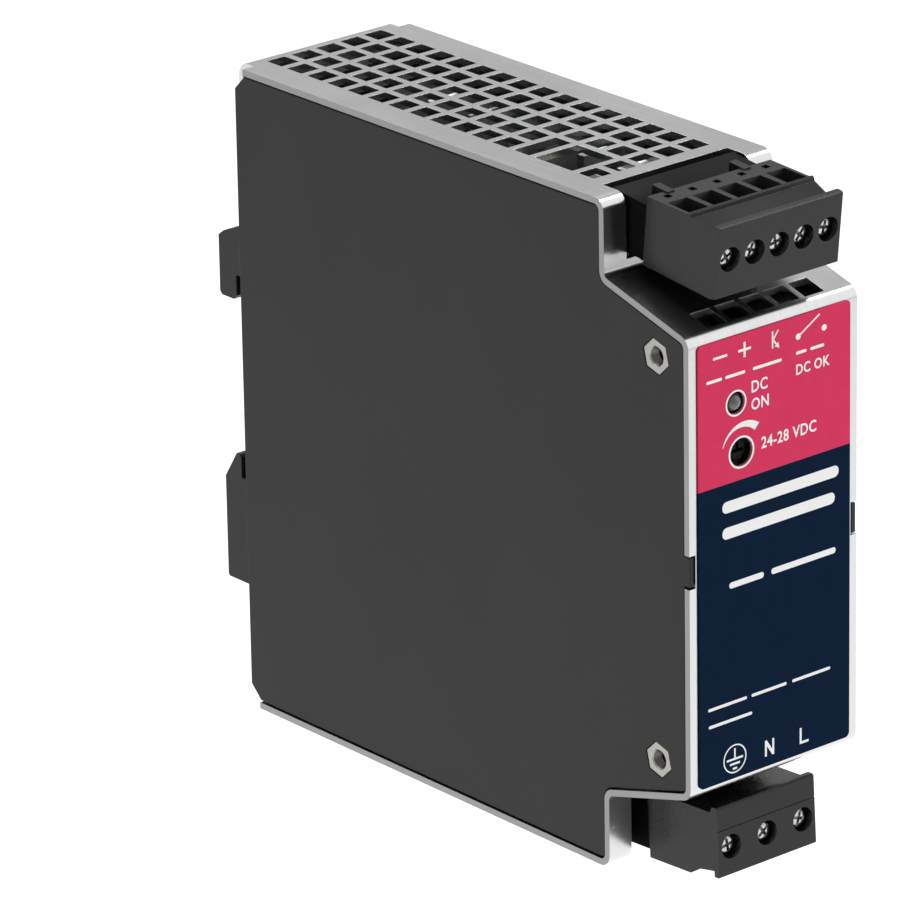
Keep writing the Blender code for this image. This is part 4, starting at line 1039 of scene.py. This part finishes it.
def build_print(mat):
    """Terminal signs, lamp and trimmer rings, the adjust wedge, bars for the small print."""
    ink = Ink()
    ink.stroke((-12.8, 34.0), (-9.9, 34.0), 0.42)
    ink.plus((-6.3, 34.0), 1.3, 1.25, 0.21)
    ink.stroke((-0.5, 32.7), (-0.5, 35.5), 0.28)
    ink.stroke((-0.34, 34.15), (0.7, 35.45), 0.26)
    ink.stroke((-0.34, 34.0), (0.28, 33.24), 0.26)
    ink.shape([(0.9, 32.5), (0.68, 33.5), (-0.06, 32.92)])
    ink.dot((4.85, 33.3), 0.52)
    ink.stroke((5.31, 33.57), (9.35, 35.9), 0.28)
    ink.dot((10.3, 33.45), 0.52)
    led = (LED_X / MM, LED_Z / MM)
    ink.ring(led, 2.15, 1.86)
    trim = (TRIM_X / MM, TRIM_Z / MM)
    ink.ring(trim, 2.66, 2.34)
    build_wedge(ink, trim)
    earth = (-8.55, -33.35)
    ink.ring(earth, 2.42, 2.2)
    ink.stroke((earth[0], -33.2), (earth[0], -31.6), 0.3)
    for half, z in ((1.7, -33.4), (1.05, -34.2), (0.45, -35.0)):
        ink.stroke((earth[0] - half, z), (earth[0] + half, z), 0.34)
    left = -2.2
    right = -0.25
    low = -34.95
    high = -32.25
    bar = 0.4
    slant = 0.52
    ink.shape([
        (left, low), (left + bar, low), (left + bar, high - slant - bar),
        (right - bar, low), (right, low), (right, high), (right - bar, high),
        (right - bar, low + slant + bar), (left + bar, high), (left, high),
    ])
    ink.shape([
        (5.2, low), (7.1, low), (7.1, low + bar), (5.6, low + bar), (5.6, high), (5.2, high),
    ])
    for z, spans, height in SMALL_PRINT:
        for start, end in spans:
            ink.shape(rounded_rectangle(start, z, end, z + height, 0.45 * height, 4))
    for words, place, height in LEGENDS:
        ink.words(words, place, height)
    dress(mesh_object("label_print", ink.bm), mat, slot="label_film")


SMALL_PRINT = (
    (30.15, ((-14.2, -11.0), (-10.3, -6.2), (-4.6, 1.4)), 0.5),
    (30.4, ((4.4, 6.6), (7.4, 10.3)), 0.5),
    (8.1, ((-11.0, 13.4),), 1.9),
    (3.8, ((-11.0, 12.6),), 1.9),
    (-4.6, ((-9.6, -2.4), (-0.8, 12.8)), 1.0),
    (-24.0, ((-14.1, -6.0), (-5.0, 2.4), (3.6, 11.7)), 0.5),
    (-26.9, ((-14.0, -4.9),), 0.5),
)
LEGENDS = (
    ("DC OK", (4.3, 27.1), 1.75),
    ("DC", (-5.0, 26.6), 1.95),
    ("ON", (-5.0, 23.7), 1.95),
    ("24-28 VDC", (-2.9, 16.9), 1.95),
)


def build_wedge(ink, centre):
    """Band that grows thicker clockwise over the trimmer, with a rising end."""
    start = 158.0
    end = 47.0
    outer = []
    inner = []
    steps = 28
    for step in range(steps + 1):
        share = step / steps
        angle = math.radians(start + (end - start) * share)
        thick = 0.12 + 1.25 * share ** 1.2
        radius = 4.15 + 0.55 * share
        for line, reach in ((outer, radius + 0.5 * thick), (inner, radius - 0.5 * thick)):
            line.append((
                centre[0] + reach * math.cos(angle), centre[1] + reach * math.sin(angle),
            ))
    ink.shape(outer + inner[::-1])


def build_lamp(mat):
    """Diffused lamp lens: dome, barrel and base flange."""
    low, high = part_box("status_lamp")
    tip = low.y
    stations = [(tip, 0.0)]
    for step in range(1, 11):
        angle = math.radians(9.0 * step)
        rise = LED_RADIUS * (1.0 - math.cos(angle))
        stations.append((tip + rise, LED_RADIUS * math.sin(angle)))
    base = high.y - MM
    stations += [(base, LED_RADIUS), (base, 1.9 * MM)]
    stations += [(high.y - 0.1 * MM, 1.9 * MM), (high.y, 1.8 * MM)]
    lens = lathes("lamp_lens", [(LED_X, LED_Z)], 1, stations, 40)
    dress(lens, mat, ("status_lamp",))


def build_trimmer(mat):
    """Trimmer rotor: a chamfered disc with a T-shaped slot."""
    low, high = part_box("trimmer_rotor")
    face = low.y
    stations = [
        (high.y, TRIM_ROTOR_RADIUS), (face + 0.22 * MM, TRIM_ROTOR_RADIUS),
        (face + 0.06 * MM, TRIM_ROTOR_RADIUS - 0.12 * MM), (face, TRIM_ROTOR_RADIUS - 0.3 * MM),
    ]
    rotor = lathes("trimmer_dial", [(TRIM_X, TRIM_Z)], 1, stations, 40)
    arm = 1.25 * MM
    width = 0.27 * MM
    near = face - MM
    far = face + 0.9 * MM
    across = ((TRIM_X - arm, near, TRIM_Z - width), (TRIM_X + arm, far, TRIM_Z + width))
    cut(rotor, boxes([across]))
    upright = ((TRIM_X - width, near, TRIM_Z - width), (TRIM_X + width, far, TRIM_Z + arm))
    cut(rotor, boxes([upright]))
    dress(rotor, mat, ("trimmer_rotor",), 0.06, 2, 35.0, "trimmer", "trimmer_rotor")


# -------- rail clip
def build_adapter(mat):
    """Fixed half of the clip: seat plate with lightening pockets, upper hook and latch guide."""
    outline = [
        (-5.2, -42.0), (0.0, -42.0), (0.0, 17.8), (1.7, 17.8), (1.7, 14.2), (2.5, 13.4),
        (5.6, 13.4), (6.1, 14.0), (6.1, 23.8), (4.8, 24.8), (1.0, 26.4), (-0.6, 27.0), (-5.2, 27.0),
    ]
    outline = [mm(*point) for point in outline]
    adapter = prism("rail_clip_body", outline, 0, -CLIP_HALF, CLIP_HALF)
    top = -17.9 * MM
    bottom = -36.0 * MM
    cut(adapter, boxes([((-5.1 * MM, -6.0 * MM, bottom), (5.1 * MM, -2.2 * MM, top))]))
    cut(adapter, boxes([((-3.2 * MM, -3.0 * MM, bottom), (3.2 * MM, MM, top))]))
    centres = [(SCREW_X, 0.0), (-SCREW_X, 0.0)]
    cut(adapter, lathes("holes", centres, 1, [mm(-6.0, 1.6), (MM, 1.6 * MM)]))
    cut(adapter, lathes("sinks", centres, 1, [mm(-2.4, 2.9), (MM, 2.9 * MM)]))
    pockets = [
        ((x - 2.6 * MM, -0.7 * MM, z - 2.2 * MM), (x + 2.6 * MM, MM, z + 2.2 * MM))
        for x in (-SCREW_X, SCREW_X)
        for z in mm(-38.0, -10.0, 11.0)
    ]
    cut(adapter, boxes(pockets))
    ribs = [step * 3.5 * MM for step in range(-3, 4)]
    cut(adapter, row_boxes(ribs, 0.4 * MM, mm(5.7, 18.6), mm(7.0, 23.0)))
    dress(adapter, mat, ("rail_adapter",), 0.18, 2, 25.0)


def build_latch(mat):
    """Sprung lower half of the clip with a grip and a screwdriver slot."""
    outline = [
        (0.3, -36.6), (5.7, -36.6), (6.1, -36.2), (6.1, -18.6), (3.0, -13.8), (2.2, -13.8),
        (1.7, -14.3), (1.7, -17.9), (0.3, -17.9),
    ]
    outline = [mm(*point) for point in outline]
    latch = prism("rail_clip_latch", outline, 0, -CLIP_HALF, CLIP_HALF)
    join(latch, boxes([(mm(-2.9, -3.0, -22.0), mm(2.9, 0.8, -18.2))]))
    join(latch, boxes([(mm(-4.8, -4.9, -22.0), mm(4.8, -2.5, -18.2))]))
    cut(latch, boxes([(mm(-3.0, 2.4, -38.0), mm(3.0, 3.8, -32.6))]))
    grooves = [
        ((-11.0 * MM, 5.75 * MM, z - 0.35 * MM), (11.0 * MM, 7.0 * MM, z + 0.35 * MM))
        for z in [(-34.6 + 1.6 * step) * MM for step in range(6)]
    ]
    cut(latch, boxes(grooves))
    dress(latch, mat, ("rail_latch",), 0.18, 2, 25.0, "latch")


def build_spring(mat):
    """Compression spring with closed ends, on the latch guide's axis."""
    low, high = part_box("latch_spring")
    centre = middle("latch_spring")
    wire = SPRING_WIRE
    steps = 168
    bottom = low.z + wire
    top = high.z - wire
    rings = []
    for step in range(steps + 1):
        share = step / steps
        angle = 2.0 * math.pi * SPRING_TURNS * share
        ease = min(1.0, max(0.0, (share - 0.06) / 0.88))
        rise = bottom + (top - bottom) * (0.03 * share + 0.97 * ease)
        outward = Vector((math.cos(angle), math.sin(angle), 0.0))
        section = circle((SPRING_RADIUS, rise), wire, 10)
        rings.append([Vector((0.0, centre.y, z)) + outward * reach for reach, z in section])
    bm = bmesh.new()
    add_rings(bm, rings)
    spring = mesh_object("latch_coil", bm)
    dress(spring, mat, ("latch_spring",), sharp=50.0)
    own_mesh(spring)


# -------- studio
def build_studio():
    """Large pale floor below the hanging unit, soft panels above and in front, an even sky."""
    bm = bmesh.new()
    bmesh.ops.create_grid(bm, x_segments=8, y_segments=8, size=FLOOR_HALF)
    floor = mesh_object("studio_floor", bm)
    floor.location = (0.0, 0.0, FLOOR_Z)
    floor.data.materials.append(studio_floor())
    world = bpy.data.worlds.new("studio")
    world.use_nodes = True
    background = world.node_tree.nodes["Background"]
    background.inputs["Color"].default_value = (1.0, 1.0, 1.0, 1.0)
    background.inputs["Strength"].default_value = SKY_STRENGTH
    bpy.context.scene.world = world
    centre = 0.5 * (CAD_BOX[0] + CAD_BOX[1])
    for name, place, size, power in LIGHTS:
        light = bpy.data.lights.new(name, "AREA")
        light.shape = "SQUARE"
        light.size = size
        light.energy = power
        lamp = bpy.data.objects.new(name, light)
        lamp.location = place
        lamp.rotation_euler = (centre - Vector(place)).to_track_quat("-Z", "Y").to_euler()
        bpy.context.scene.collection.objects.link(lamp)


def build_camera():
    """Three-quarter view from the front left, a little above."""
    camera = bpy.data.cameras.new("camera")
    camera.lens = CAMERA_LENS
    camera.sensor_width = 36.0
    camera.clip_start = 0.05
    camera.clip_end = 30.0
    obj = bpy.data.objects.new("camera", camera)
    level = math.cos(CAMERA_ELEVATION)
    back = Vector((
        math.sin(CAMERA_AZIMUTH) * level,
        -math.cos(CAMERA_AZIMUTH) * level,
        math.sin(CAMERA_ELEVATION),
    ))
    turn = back.to_track_quat("Z", "Y").to_matrix() @ Matrix.Rotation(CAMERA_ROLL, 3, "Z")
    obj.matrix_world = Matrix.Translation(CAMERA_PLACE) @ turn.to_4x4()
    bpy.context.scene.collection.objects.link(obj)
    bpy.context.scene.camera = obj


# -------- assembly
def main():
    sheet = plated_sheet()
    panel = moulded("panel_plastic", (0.0165, 0.0155, 0.0165), 0.5, 5200.0, 0.02)
    clip = moulded("clip_plastic", (0.014, 0.014, 0.015), 0.46, 4200.0, 0.015)
    rear = moulded("rear_plastic", (0.017, 0.017, 0.018), 0.52, 4800.0, 0.02)
    block = moulded("plug_plastic", (0.0095, 0.009, 0.0094), 0.27, 1800.0, 0.0006, 0.32)
    socket = moulded("header_plastic", (0.003, 0.003, 0.0034), 0.4, 3600.0, 0.005, 0.04)
    ivory = moulded("ivory_plastic", (0.40, 0.39, 0.34), 0.42, 3600.0, 0.01)
    case = moulded("trimmer_case", (0.004, 0.005, 0.008), 0.38, 3600.0, 0.01)
    dial = moulded("trimmer_dial", (0.005, 0.005, 0.0055), 0.36, 4200.0, 0.008, 0.1)
    film = moulded("film_capacitor_case", (0.55, 0.37, 0.05), 0.35, 2400.0, 0.012)
    turned_y = nickel("nickel_screw", (0.56, 0.57, 0.56), 0.16, direction="Y")
    turned_x = nickel("nickel_nut", (0.42, 0.41, 0.38), 0.28, 700.0, "X")
    tin = metal("tinned_brass", (0.68, 0.66, 0.60), 0.26)
    spring = metal("spring_steel", (0.46, 0.46, 0.48), 0.28)
    aluminium = metal("heatsink_aluminium", (0.70, 0.70, 0.71), 0.34, 300.0, 0.02)
    board = laminate()
    build_band(sheet)
    build_side_panel("left_cover", "side_panel_left", -1, panel)
    build_side_panel("right_cover", "side_panel_right", 1, panel)
    refine("rear_plate", rear, 0.2)
    build_adapter(clip)
    build_latch(clip)
    build_spring(spring)
    for kind, word, turn in (
        ("flange", "top", 15.0), ("flange", "bottom", 40.0),
        ("adapter", "left", 70.0), ("adapter", "right", 25.0),
    ):
        build_pan_screw(f"{kind}_bolt_{word}", f"{kind}_screw_{word}", turned_y, turn)
    for word, turn in (("upper", 22.0), ("lower", 64.0)):
        build_nut("threaded_nut_" + word, "press_nut_" + word, turned_x)
        build_cover_screw("cover_bolt_" + word, "cover_screw_" + word, turned_x, turn)
    build_label(label_film())
    build_print(label_ink())
    build_lamp(lamp_epoxy())
    refine("trimmer_body", case, 0.12)
    build_trimmer(dial)
    for plug in (OUTPUT, INPUT):
        build_plug(plug, block)
        build_clamp_screws(plug, turned_y)
        refine("header_" + plug.name, socket, 0.12)
        refine("terminal_board_" + plug.name, board, 0.08)
        for number in range(1, len(plug.poles) + 1):
            cage = f"clamp_cage_{plug.name}_{number}"
            refine(cage, tin, 0.08, body=cage)
            refine(f"pin_{plug.name}_{number}", tin, 0.1)
    refine("main_board", board, 0.08)
    refine("transformer_core", ferrite(), 0.25)
    refine("transformer_winding", winding_tape(), 0.2)
    for can, name, colour, reach in (
        ("bulk_capacitor", "capacitor_sleeve", (0.014, 0.018, 0.085), 6.5 * MM),
        ("output_capacitor", "small_capacitor_sleeve", (0.016, 0.016, 0.018), 3.6 * MM),
    ):
        wrap = sleeve(name, colour, middle(can).y - reach)
        refine(can, wrap, 0.1, sharp=50.0)
    refine("mains_choke", enamelled_copper(), 0.0, sharp=70.0)
    refine("suppression_capacitor", film, 0.5, 3)
    refine("heatsink", aluminium, 0.12)
    refine("option_connector", ivory, 0.12)
    build_studio()
    build_camera()
    view = bpy.context.scene.view_settings
    view.view_transform = "Standard"
    view.look = "None"


main()
